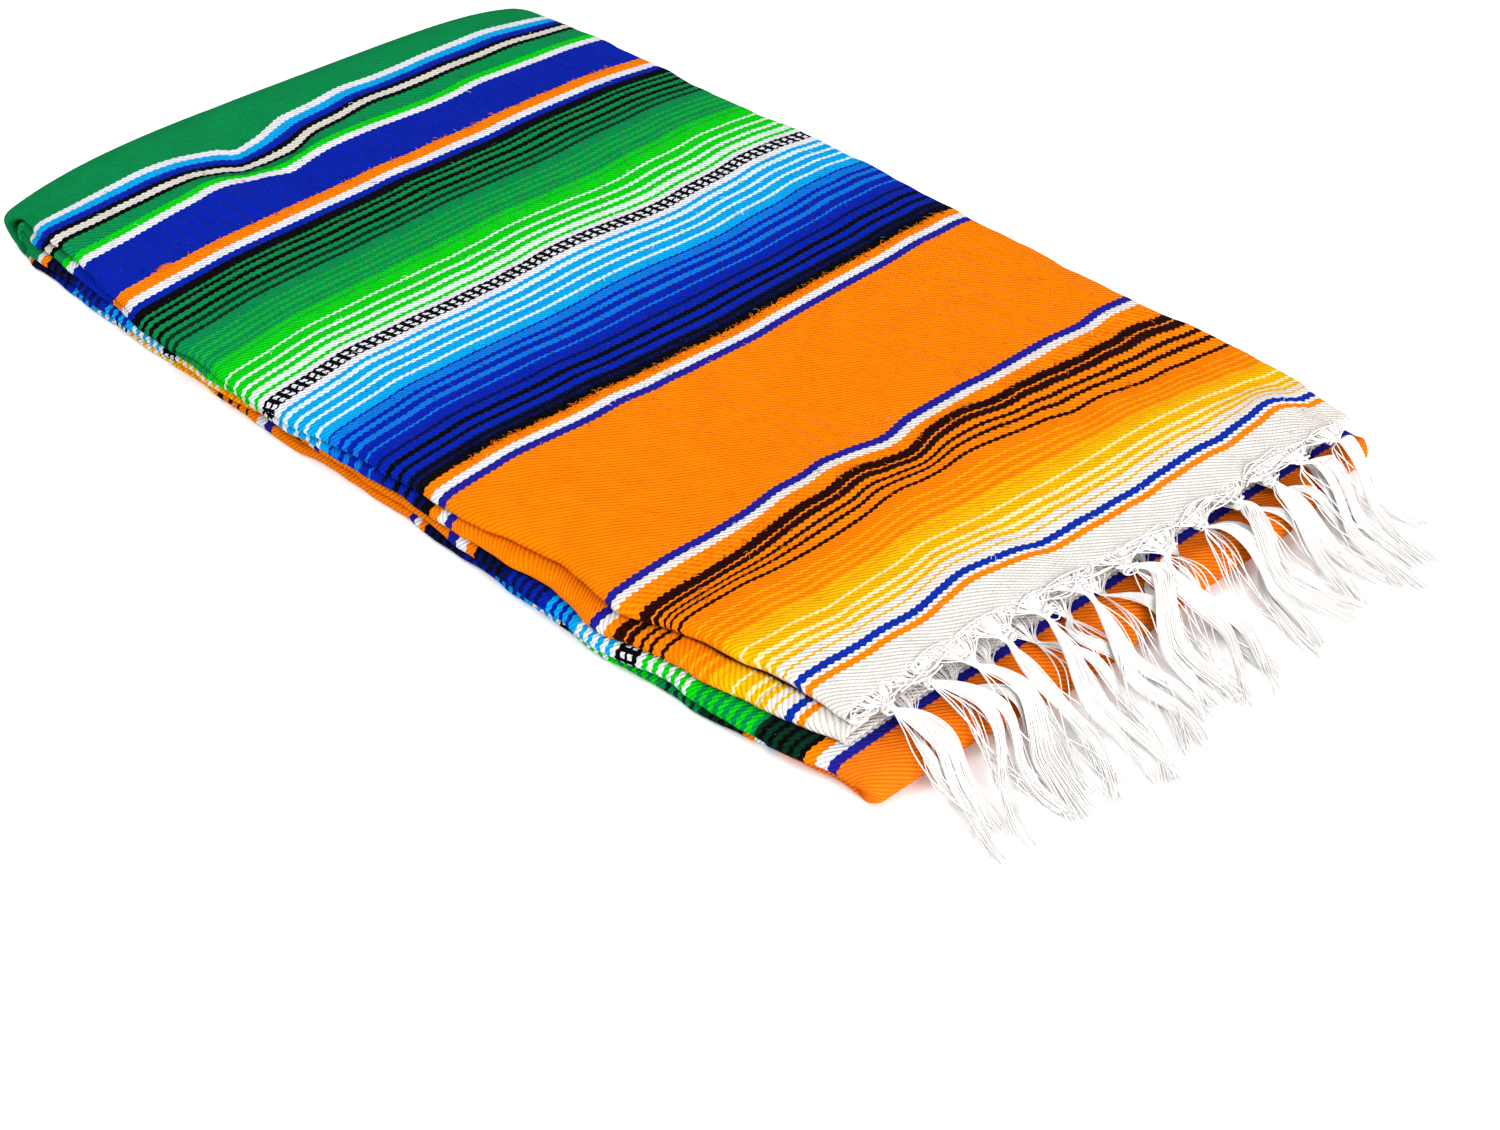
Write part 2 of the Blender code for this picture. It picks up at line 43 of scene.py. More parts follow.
# A striped blanket, folded in four across and then twice along, with knotted fringes at its hems.
# Everything is made in the stack's own space, in metres: y = 0 at the top hem, floor at z = 0.
# This is where the middle of the part lies there.
middle = np.array([-0.00405, 0.25628, 0.0])

# The stack has four stretches of cloth, from the floor up: under, third, second and top.
stack = {
    "height": 0.036,
    "under": 0.00792, "third": 0.018, "second": 0.02736,   # tops of the lower three stretches
    "gap": 0.0004,                        # between one stretch and the next
    "cloth": 0.0016,                      # wall of each shell
    "backTurn": 0.5915, "backBulge": 0.024, "backDepth": 0.0085,   # the fold at the back
    "frontTurn": -0.016, "frontBulge": 0.013,                      # the fold at the front
    "lipEnd": 0.036,                      # where the front fold's lip ends, in under the hems
    "hemEnd": 0.042,                      # depth of the second hem
    "innerBulge": 0.0096, "hairpin": 0.0004, "turnAngles": (-86, 90),   # the turn inside the back fold
    "slack": 0.002,                       # how much further back the two inner stretches go
    "seam": 0.0006,                       # between the back fold and the under stretch
    "roll": 0.0055, "flap": 0.009,        # a rolled edge, and the cloth that it tucks in
}
top, second, third, under = 1, 2, 3, 4    # columns of the two tables below

# distance of each stretch's edge from the middle: y, top, second, third, under
leftEdges = np.array([
    (-0.040, 0.170, 0.174, 0.186, 0.184), (0.000, 0.170, 0.176, 0.187, 0.182),
    (0.030, 0.172, 0.183, 0.193, 0.186), (0.060, 0.176, 0.189, 0.195, 0.192),
    (0.090, 0.181, 0.191, 0.194, 0.192), (0.130, 0.190, 0.198, 0.200, 0.195),
    (0.170, 0.184, 0.192, 0.197, 0.193), (0.210, 0.190, 0.194, 0.195, 0.191),
    (0.250, 0.193, 0.194, 0.191, 0.190), (0.290, 0.194, 0.194, 0.190, 0.188),
    (0.330, 0.198, 0.196, 0.190, 0.188), (0.370, 0.200, 0.196, 0.189, 0.190),
    (0.410, 0.196, 0.194, 0.191, 0.187), (0.450, 0.196, 0.192, 0.189, 0.186),
    (0.490, 0.188, 0.187, 0.188, 0.185), (0.530, 0.180, 0.182, 0.183, 0.182),
    (0.575, 0.177, 0.178, 0.180, 0.179), (0.615, 0.171, 0.171, 0.172, 0.172),
])
rightEdges = np.array([
    (-0.040, 0.183, 0.186, 0.192, 0.188), (0.000, 0.183, 0.186, 0.191, 0.187),
    (0.060, 0.186, 0.188, 0.191, 0.189), (0.135, 0.181, 0.183, 0.186, 0.184),
    (0.200, 0.182, 0.184, 0.187, 0.185), (0.250, 0.182, 0.184, 0.187, 0.185),
    (0.300, 0.184, 0.186, 0.189, 0.187), (0.360, 0.185, 0.187, 0.190, 0.188),
    (0.430, 0.181, 0.183, 0.186, 0.184), (0.480, 0.184, 0.186, 0.189, 0.187),
    (0.540, 0.184, 0.186, 0.187, 0.186), (0.575, 0.181, 0.182, 0.182, 0.182),
    (0.615, 0.173, 0.173, 0.173, 0.173),
])
# height of the stack along its middle: y, z
stackHeights = np.array([
    (-0.120, 0.0360), (-0.060, 0.0345), (-0.030, 0.0325), (0.000, 0.0325), (0.036, 0.0360),
    (0.075, 0.0374), (0.175, 0.0368), (0.325, 0.0362), (0.425, 0.0335), (0.470, 0.0318),
    (0.510, 0.0302), (0.575, 0.0288), (0.620, 0.0285),
])
# soft lumps and hollows: x, y, reach along x, reach along y, rise
lumps = np.array([
    (-0.060, 0.500, 0.045, 0.060, -0.0014), (0.070, 0.500, 0.060, 0.060, 0.0010),
    (0.090, 0.090, 0.050, 0.045, 0.0016), (-0.060, 0.110, 0.045, 0.050, 0.0012),
    (-0.100, 0.300, 0.060, 0.070, 0.0014), (0.060, 0.330, 0.060, 0.080, -0.0010),
    (0.020, 0.020, 0.045, 0.045, -0.0012), (-0.115, 0.030, 0.050, 0.045, 0.0010),
])
# creases, listed one by one, only on the upper stretches: x, y, half length, half width, turn, rise
creases = np.array([
    (-0.052, 0.562, 0.034, 0.0070, 62, -0.0026), (-0.030, 0.556, 0.034, 0.0085, 58, 0.0020),
    (-0.092, 0.540, 0.026, 0.0080, 75, 0.0010), (0.070, 0.560, 0.050, 0.0100, 12, 0.0008),
    (-0.058, 0.118, 0.022, 0.0080, 60, 0.0014), (-0.035, 0.106, 0.020, 0.0070, 58, -0.0012),
    (0.064, 0.104, 0.028, 0.0085, 70, 0.0016), (0.092, 0.100, 0.026, 0.0080, 74, -0.0014),
    (0.118, 0.094, 0.026, 0.0085, 70, 0.0014), (0.150, 0.075, 0.040, 0.0090, 82, -0.0010),
    (-0.150, 0.050, 0.045, 0.0080, 80, 0.0012), (-0.128, 0.045, 0.035, 0.0070, 78, -0.0010),
    (-0.158, 0.330, 0.080, 0.0090, 88, -0.0008), (-0.150, 0.200, 0.050, 0.0085, 86, 0.0008),
    (0.162, 0.300, 0.090, 0.0090, 92, 0.0008), (0.020, 0.150, 0.050, 0.0120, 25, 0.0007),
    (-0.020, 0.035, 0.030, 0.0080, 100, -0.0014), (0.006, 0.040, 0.032, 0.0080, 98, 0.0010),
    (0.060, 0.020, 0.025, 0.0070, 85, 0.0009), (0.110, 0.024, 0.022, 0.0070, 88, -0.0009),
])
# how the folded cloth has settled; a pair called from is where an effect sets in and where it is
# whole, and one called until is where it begins to fade and where it is gone
settled = {
    "halfWidth": 0.18,
    "shoulder": 0.0042, "shoulderAt": 0.182,            # the top drops towards its long edges
    "lumpsFrom": (-0.060, 0.010),                       # y
    "creasesFrom": (0.45, 1.0),                         # level in the stack, 0 at the floor
    "slant": 0.0105, "slantFrom": (0.40, 0.60),         # the back edge lies askew
    "leftCorner": 0.021, "rightCorner": 0.011, "cornersFrom": (0.55, 0.61),   # drawn in at the back
    "hem": 0.001, "hemStep": 0.005, "hemStepAt": -0.01, "hemStepReach": 0.042,   # its two halves
    "hemUntil": (0.02, 0.16), "hemFrom": (0.78, 0.92),      # y, and level in the stack
    "bow": 0.007, "bowAt": -0.045, "bowReach": 0.050, "bowUntil": (-0.030, -0.003),   # front fold
    "frontCorner": 0.012, "frontCornerFrom": (0.10, 0.19),
}


def smoothstep(value, start, end):
    # 3 t^2 - 2 t^3, where t is the share of the way from start to end
    t = np.clip((value - start) / (end - start), 0.0, 1.0)
    return t * t * (3.0 - 2.0 * t)


def smoothTable(value, places, heights):
    # a cubic through the table's points, with each slope taken from the points beside it
    slopes = np.gradient(heights, places)
    i = np.clip(np.searchsorted(places, value) - 1, 0, len(places) - 2)
    step = places[i + 1] - places[i]
    t = np.clip((value - places[i]) / step, 0.0, 1.0)
    near = heights[i] * (1 + 2 * t) * (1 - t) ** 2 + slopes[i] * step * t * (1 - t) ** 2
    return near + heights[i + 1] * t * t * (3 - 2 * t) + slopes[i + 1] * step * t * t * (t - 1)


def relief(x, y):
    # rise = - shoulder * (|x| / shoulderAt)^5, plus one bell for each lump
    rise = -settled["shoulder"] * (np.abs(x) / settled["shoulderAt"]) ** 5
    for x0, y0, reachX, reachY, lump in lumps:
        rise = rise + lump * np.exp(-(((x - x0) / reachX) ** 2) - ((y - y0) / reachY) ** 2)
    return rise * smoothstep(y, *settled["lumpsFrom"])


def creaseRelief(x, y):
    # a long thin bell for each crease, turned to lie along it
    rise = 0.0 * x
    for x0, y0, length, width, degrees, lump in creases:
        cosine, sine = math.cos(math.radians(degrees)), math.sin(math.radians(degrees))
        along = (x - x0) * cosine + (y - y0) * sine
        across = (y - y0) * cosine - (x - x0) * sine
        rise = rise + lump * np.exp(-((along / length) ** 2) - (across / width) ** 2)
    return rise


def lay(points):
    # z is pressed to the table's height there; then the back's slant and corners, the hem's step
    # and the front's bow each move y
    x, y, z = points[..., 0], points[..., 1], points[..., 2]
    height = smoothTable(y, stackHeights[:, 0], stackHeights[:, 1]) + relief(x, y)
    level = z / stack["height"]
    high = height * level + creaseRelief(x, y) * smoothstep(level, *settled["creasesFrom"])
    sideways = x / settled["halfWidth"]
    shift = -settled["slant"] * sideways * smoothstep(y, *settled["slantFrom"])
    corners = (settled["leftCorner"] * np.maximum(-sideways, 0.0) ** 3
               + settled["rightCorner"] * np.maximum(sideways, 0.0) ** 8)
    shift = shift - corners * smoothstep(y, *settled["cornersFrom"])
    hemStep = np.tanh((x - settled["hemStepAt"]) / settled["hemStepReach"])
    hemShare = (1.0 - smoothstep(y, *settled["hemUntil"])) * smoothstep(level, *settled["hemFrom"])
    shift = shift - (settled["hem"] + settled["hemStep"] * hemStep) * hemShare
    bow = -settled["bow"] * np.exp(-(((x - settled["bowAt"]) / settled["bowReach"]) ** 2))
    bow = bow + settled["frontCorner"] * smoothstep(x, *settled["frontCornerFrom"])
    shift = shift + bow * (1.0 - smoothstep(y, *settled["bowUntil"]))
    return np.stack([x, y + shift, high], axis=-1)


def meshObject(name, points, faces, uv):
    # faces is a list of index arrays, one for each number of corners; uv has a row for each point
    mesh = bpy.data.meshes.new(name)
    mesh.vertices.add(len(points))
    mesh.vertices.foreach_set("co", (points - middle).astype(np.float32).ravel())
    loops = np.concatenate([f.ravel() for f in faces]).astype(np.int32)
    sizes = np.concatenate([np.full(len(f), f.shape[1]) for f in faces]).astype(np.int32)
    starts = np.concatenate([[0], np.cumsum(sizes)[:-1]]).astype(np.int32)
    mesh.loops.add(len(loops))
    mesh.loops.foreach_set("vertex_index", loops)
    mesh.polygons.add(len(sizes))
    mesh.polygons.foreach_set("loop_start", starts)
    mesh.polygons.foreach_set("loop_total", sizes)
    mesh.polygons.foreach_set("use_smooth", np.ones(len(sizes), bool))
    layer = mesh.uv_layers.new(name="cloth")
    layer.data.foreach_set("uv", uv[loops].astype(np.float32).ravel())
    mesh.update(calc_edges=True)
    mesh.validate()
    obj = bpy.data.objects.new(name, mesh)
    scene.collection.objects.link(obj)
    return obj


def slabFaces(rows, columns, base=0):
    # a grid, its copy on the other side turned over, and a rim of quads that joins them
    index = np.arange(rows * columns).reshape(rows, columns) + base
    face = np.stack([index[:-1, :-1], index[:-1, 1:], index[1:, 1:], index[1:, :-1]], -1).reshape(-1, 4)
    ring = np.concatenate([index[0], index[1:, -1], index[-1, -2::-1], index[-2:0:-1, 0]])
    after = np.roll(ring, -1)
    other = rows * columns
    rim = np.stack([after, ring, ring + other, after + other], -1)
    return np.concatenate([face, face[:, ::-1] + other, rim])


def widths(y, stretch):
    # the distance of both edges from the middle, from the tables
    return (smoothTable(y, leftEdges[:, 0], leftEdges[:, stretch]),
            smoothTable(y, rightEdges[:, 0], rightEdges[:, stretch]))


def straight(stretch, outerZ, innerZ, yFrom, yTo, step):
    # even rows of one stretch: outer and inner face in y and z, and both edges
    count = max(2, int(abs(yTo - yFrom) / step) + 1)
    y = np.linspace(yFrom, yTo, count)
    left, right = widths(y, stretch)
    outer = np.column_stack([y, np.full(count, outerZ)])
    inner = np.column_stack([y, np.full(count, innerZ)])
    return outer, inner, left, right


def turn(centreY, centreZ, outerAxes, innerAxes, angles, stretch, nextStretch):
    # rows round a fold: y = centre + along * cos, z = centre + up or down * sin, and the edges
    # go evenly from one stretch's to the next one's; axes are along y, up and down
    a = np.radians(angles)
    faces = []
    for along, up, down in (outerAxes, innerAxes):
        rise = np.where(np.sin(a) > 0, up, down)
        faces.append(np.column_stack([centreY + along * np.cos(a), centreZ + rise * np.sin(a)]))
    share = np.linspace(0.0, 1.0, len(a))
    edges = []
    for near, far in zip(widths(centreY, stretch), widths(centreY, nextStretch)):
        edges.append(near + (far - near) * share)
    return faces[0], faces[1], edges[0], edges[1]


def joined(*parts):
    # rows of several stretches one after another, without the doubled rows between them
    return [np.concatenate([parts[0][k]] + [p[k][1:] for p in parts[1:]]) for k in range(4)]


# how far the woven stripes bend towards the hem, in mm: a row for each band of them, with the
# distances from the hem where it starts and ends, and then a number for each place across
bendXs = np.array([
    -172, -150, -125, -100, -80, -62, -48, -38, -28, -15, 10, 30, 52, 70, 90, 113, 135, 158, 170,
]) / 1000.0
bends = np.array([
    (12, 28, -2.5, 0, 0, 1.5, -1.5, -4, -3, -2, -1, 1, 0, -1, -0.5, -1.5, -2, -1, -2.5, -4, 3),
    (50, 58, -4, 0, 2.5, 2.5, 2, -0.5, 0, 0.5, 0.5, 0.5, 0, -0.5, 0, 0, 0.5, 2, 4, 7, 9.5),
    (92.5, 95, 0.5, 2, 5, 7, 7, 5.5, 2.5, 1.5, 3, 3, 0, 2.5, 7, 11.5, 11, 17, 17, 19, 20),
    (113.5, 120, 7, 8, 8, 5.5, 3.5, 4.5, 1, 0.5, 3, 6, 0, -1.5, 3.5, 5, 5, 8.5, 8.5, 6.5, 9),
    (124.5, 137, 0, 0.5, 2, 1.5, -1, -0.5, -1.5, -0.5, 1, 4, 0, -0.5, -0.5, 1, 0.5, 0.5, 2, -1.5, -1),
    (229, 246, -7, -6.5, -4.5, -2.5, -3, -1, -1, -0.5, -0.5, 0, 0.5, -1, -2, -2.5, -3, -3.5, -5.5, -6, -7),
    (355, 370, 4, 1.5, 3, 3.5, 4.5, 4, 4, 3, 2.5, 1, 0.5, 2, 4.5, 5.5, 3.5, 2.5, -0.5, 0, 0.5),
    (478, 496, 5.5, 4.5, 2.5, 1.5, 0.5, -0.5, -0.5, -0.5, -0.5, -1, 0, 0, 0.5, -1, -2, -2.5, -3.5, -3, -2.5),
    (525, 536, 7.5, 6, 2.5, -1, -3.5, 1.5, 7, 5, 2.5, 0.5, 0, 1.5, 3, 2, -1, -1, -1.5, -3, -3),
    (546, 577, 4, 4, 2.5, 0.5, 3.5, 9.5, 13, 13, 10, 4, 0, -3.5, -2.5, -3, -4.5, -5.5, -7.5, -6, -6),
]) / 1000.0
leastRoom = 0.0004      # what is left of the cloth between two bands where they close up


def topWarp(x, y):
    # each band keeps its width: place = distance - bend at both its ends, and straight between them
    low = [(row[0], row[0] - smoothTable(x, bendXs, row[2:])) for row in bends]
    high = [(row[1], row[1] - smoothTable(x, bendXs, row[2:])) for row in bends]
    marks = [mark for pair in zip(low, high) for mark in pair]
    chartY = marks[0][0] + np.minimum(y - marks[0][1], 0.0) + np.maximum(y - marks[-1][1], 0.0)
    for (near, nearPlace), (far, farPlace) in zip(marks[:-1], marks[1:]):
        room = np.maximum(farPlace - nearPlace, leastRoom)
        chartY = chartY + (far - near) * np.clip((y - nearPlace) / room, 0.0, 1.0)
    return chartY - y


shell = {
    "rollSteps": 14, "flapSteps": 3,        # faces round a rolled edge and on its flap
    "flatWidth": 0.35,                      # what the columns of a whole stretch are counted on
    "waves": (0.055, 0.031, 0.017),         # lengths of the slow waves along an edge
    "wobble": 0.0006,                       # height of the longest; the others are in proportion
}


def clothShell(name, rows, sides, seed, step=0.0026, tableY=None, warp=None):
    # One stretch of cloth with rolled edges, as a closed shell. Round an edge the distance inwards
    # is roll * (1 - sin a) and the share of the way from outer to inner face is (1 + cos a) / 2.
    # Its uv is in metres: across is the length round the cloth from its middle, and along is the
    # length of the strip, or the chart's own distance where tableY gives it.
    outer, inner, left, right = rows
    left, right = left.copy(), right.copy()
    chance = np.random.default_rng(seed)
    travel = np.concatenate([[0.0], np.cumsum(np.linalg.norm(np.diff(outer, axis=0), axis=1))])
    for edge in (left, right):
        for wave in shell["waves"]:
            phase = chance.uniform(0, 6.3)
            edge += shell["wobble"] * wave / shell["waves"][0] * np.sin(travel * 2 * np.pi / wave + phase)
    roll, flapSteps = stack["roll"], shell["flapSteps"]
    angle = np.linspace(0.0, np.pi, shell["rollSteps"] + 1)
    flapInset = np.linspace(roll + stack["flap"], roll, flapSteps + 1)[:-1]
    inset = np.concatenate([flapInset, roll * (1.0 - np.sin(angle))])
    depth = np.concatenate([np.ones(flapSteps), 0.5 + 0.5 * np.cos(angle)])
    if sides != "both":
        # a lone edge has a flap on the outer face too
        inset = np.concatenate([inset, flapInset[::-1]])
        depth = np.concatenate([depth, np.zeros(flapSteps)])
    xs, depths = [], []
    if sides in ("both", "left"):
        xs.append(-left[:, None] + inset)
        depths.append(depth)
    if sides == "both":
        start, end = -left + roll, right - roll
        share = np.linspace(0.0, 1.0, int(shell["flatWidth"] / step))[1:-1]
        xs.append(start[:, None] + (end - start)[:, None] * share)
        depths.append(np.zeros(len(share)))
    if sides in ("both", "right"):
        xs.append(right[:, None] - inset[::-1])
        depths.append(depth[::-1])
    x = np.concatenate(xs, axis=1)
    depth = np.concatenate(depths)
    yz = outer[:, None, :] + (inner - outer)[:, None, :] * depth[None, :, None]
    even = np.concatenate([x[..., None], yz], axis=-1)
    steps = np.linalg.norm(np.diff(even, axis=1), axis=-1)
    around = np.concatenate([np.zeros((len(x), 1)), np.cumsum(steps, axis=1)], axis=1)
    zero = {"both": x.shape[1] // 2, "left": x.shape[1] - 1, "right": 0}[sides]
    across = around - around[:, zero:zero + 1] + x[:, zero:zero + 1]
    along = np.repeat((travel if tableY is None else tableY)[:, None], x.shape[1], axis=1)
    if warp:
        along = along + warp(x, even[..., 1])
    laid = lay(even)
    normal = np.cross(np.gradient(laid, axis=1), np.gradient(laid, axis=0))
    normal /= np.linalg.norm(normal, axis=-1, keepdims=True) + 1e-12
    inside = laid - normal * stack["cloth"]
    points = np.concatenate([laid.reshape(-1, 3), inside.reshape(-1, 3)])
    uv = np.stack([across.ravel(), along.ravel()], -1)
    obj = meshObject(name, points, [slabFaces(*x.shape)], np.concatenate([uv, uv]))
    return obj, float(around[:, -1].mean()), float(travel[-1])


# colours as they look; the studio light brightens them 1.38 times, so each is divided by that
dyes = {
    # the second, redder orange is the orange dye with painted light that bounces onto the front fold
    "orange": "fd8001", "flame": "ff7a12", "amber": "ffa006", "yellow": "f6b204", "cream": "fbe3a6",
    "bone": "e6dfd8", "white": "e6e7ee", "ash": "d9d6cd", "hemBlue": "0a2ca0", "violet": "201f94",
    "blue": "0422a8", "navy": "071050", "azure": "0a76da", "sky": "04a5ec", "lime": "08cc12",
    "leaf": "10a838", "pale": "d9f2e0", "mist": "dcf0f4", "green": "06884a", "forest": "04301c",
    "black": "06060a", "brown": "260806",
}
exposure = 1.38
# the striped pattern of the top stretch from its hem to the back: colour, width in mm
topChart = """bone 15.3 orange 3.6 bone 2.3 hemBlue 3.9 bone 4.9 yellow 1.5 bone 3.4 yellow 2.8 cream 2.5
yellow 3.3 cream 2.7 yellow 5.4 cream 1.5 yellow 6.5 amber 1.7 yellow 2.4 amber 1.5 orange 3.1
amber 2.6 orange 3.6 amber 2.1 orange 4.3 amber 1.5 orange 8.6 brown 1.8 orange 4.2 brown 2.3
orange 2.5 brown 2.6 orange 3.0 brown 3.7 orange 1.1 brown 5.4 orange 5.1 bone 4.4 violet 4.4
orange 97.6 violet 4.6 white 4.8 orange 5.7 black 5.8 navy 2.5 black 2.6 navy 1.6 blue 4.1 black 2.9
blue 4.6 black 3.5 blue 5.2 navy 2.5 blue 7 azure 1.8 blue 5.8 azure 3.3 blue 4.7 azure 3.2 blue 2.9
azure 5.6 blue 1.7 sky 6.6 mist 2.0 sky 5.8 mist 2.4 sky 4.9 mist 2.4 sky 4.9 mist 3.6 sky 2.9
white 4.9 black 8.4 white 3.5 lime 2.4 pale 4.3 lime 3.4 pale 2.5 lime 4.9 pale 2.3 lime 5.7
pale 1.5 lime 7.9 leaf 1.8 lime 2.2 leaf 1.8 green 1.8 leaf 2 green 3 leaf 2.5 green 2.1 leaf 2.4
green 3 leaf 1.5 green 7.8 forest 2.6 green 3.0 forest 3.0 green 3.0 black 3.2 green 3.6 black 3.4 green 2.8
black 3 green 2 black 6.5 blue 4.8 white 6 orange 8.2 blue 34.8 white 4.9 lime 5.1 green 8.4
black 3.3 ash 4.9 black 3.6 blue 5.5 sky 6.2 white 5.4 green 90.4"""


def linear(code):
    # srgb hex to linear: ((c + 0.055) / 1.055)^2.4, or c / 12.92 when dark
    c = np.array([int(code[i:i + 2], 16) for i in (0, 2, 4)]) / 255.0
    value = np.where(c <= 0.04045, c / 12.92, ((c + 0.055) / 1.055) ** 2.4)
    return (*value.tolist(), 1.0)


def dye(name):
    # the linear colour divided by the light's brightness
    return (*[c / exposure for c in linear(dyes[name])[:3]], 1.0)


def readChart(text):
    # pairs of words, a colour and its width in mm, to names and metres
    words = text.split()
    return [(words[i], float(words[i + 1]) / 1000.0) for i in range(0, len(words), 2)]


def fade(names, length, pair=0.0054):
    # lines of two neighbouring colours by turns, pair after pair, from the first to the last
    count = max(len(names) - 1, round(length / pair))
    first = [min(k * (len(names) - 1) // count, len(names) - 2) for k in range(count)]
    return [(names[i + turned], length / count / 2) for i in first for turned in (0, 1)]


def newMaterial(name):
    # a material with an empty node tree to build in
    material = bpy.data.materials.new(name)
    material.use_nodes = True
    material.node_tree.nodes.clear()
    return material, material.node_tree


def addNode(tree, kind, inputs=(), output=0, **settings):
    # one node with its settings; inputs are in order, or a dictionary by number or name, each set
    # or linked; what comes back is one of its outputs, if it has any
    node = tree.nodes.new("ShaderNode" + kind)
    for key, value in settings.items():
        setattr(node, key, value)
    pairs = inputs.items() if isinstance(inputs, dict) else enumerate(inputs)
    for key, value in pairs:
        if isinstance(value, bpy.types.NodeSocket):
            tree.links.new(value, node.inputs[key])
        else:
            node.inputs[key].default_value = value
    return node.outputs[output] if len(node.outputs) else None


ramps = {"stripes": 30, "length": 0.09}     # most that one ramp holds, so that its lines stay sharp


def stripeColour(tree, along, start, chart):
    # on each ramp, share = (along - its start) / its length; each takes over where the last one ends
    groups, edge = [[start, []]], start
    for name, width in chart:
        if len(groups[-1][1]) == ramps["stripes"] or edge - groups[-1][0] > ramps["length"]:
            groups.append([edge, []])
        groups[-1][1].append((name, edge))
        edge += width
    ends = [low for low, stripes in groups[1:]] + [edge]
    colour = None
    for (low, stripes), high in zip(groups, ends):
        travel = addNode(tree, "Math", (along, low), operation="SUBTRACT")
        share = addNode(tree, "Math", (travel, high - low), operation="DIVIDE")
        here = addNode(tree, "ValToRGB", (share,))
        ramp = here.node.color_ramp
        ramp.interpolation = "CONSTANT"
        ramp.elements.remove(ramp.elements[1])
        ramp.elements[0].position = 0.0
        for k, (name, place) in enumerate(stripes):
            # a new stop is made in its place, because moving one changes the order
            stop = ramp.elements[0] if k == 0 else ramp.elements.new((place - low) / (high - low))
            stop.color = dye(name)
        if colour is None:
            colour = here
        else:
            past = addNode(tree, "Math", (along, low), operation="GREATER_THAN")
            colour = addNode(tree, "Mix", {0: past, 6: colour, 7: here}, output=2, data_type="RGBA")
    return colour


# sizes in metres; scales are noise cells in a metre
weave = {
    "pick": 0.00115,                        # one weft yarn
    "cord": 0.0025,                         # from one slanted cord to the next
    "tooth": 0.0040,                        # two warps: one tooth of a stripe's edge
    "slant": 0.0140,                        # how far along one tooth leans over
    "bite": 0.00034,                        # depth of a tooth
    "wander": 0.0016, "wanderScale": 18.0,  # how far a stripe strays from its line
    "fuzz": 0.0010, "fuzzScale": 900.0,     # how far single fibres reach into the next stripe
    "chain": 0.0057,                        # one loop of the chain stripe
    "chainRow": 0.0018, "chainYarn": 0.0011,   # a row of loops: off the middle, half its width
    "chainLean": 260.0,                     # radians that a loop turns in a metre along
    "rib": 0.40, "nap": 0.9,                # heights of ribs and nap beside a cord's
    "napScale": (350.0, 1400.0, 1.0),
    "heights": (0.45, 1.75),                # lowest and highest of the three together
    "paintedShades": (0.66, 1.13),                 # how bright the painted shade in the hollows and the painted highlight on the crowns are
    "patchScale": 60.0, "patchShades": (0.94, 1.04),   # felted patches, 16 mm wide
    # pale specks of lint, with painted glints where they catch the light
    "lintGlintScale": 1700.0, "lintGlint": (0.55, 0.60, 0.75, 1.0), "lintGlintShare": 0.25, "lintGlintOver": 0.76,
    "relief": 0.0007,                       # how high the bump stands
}


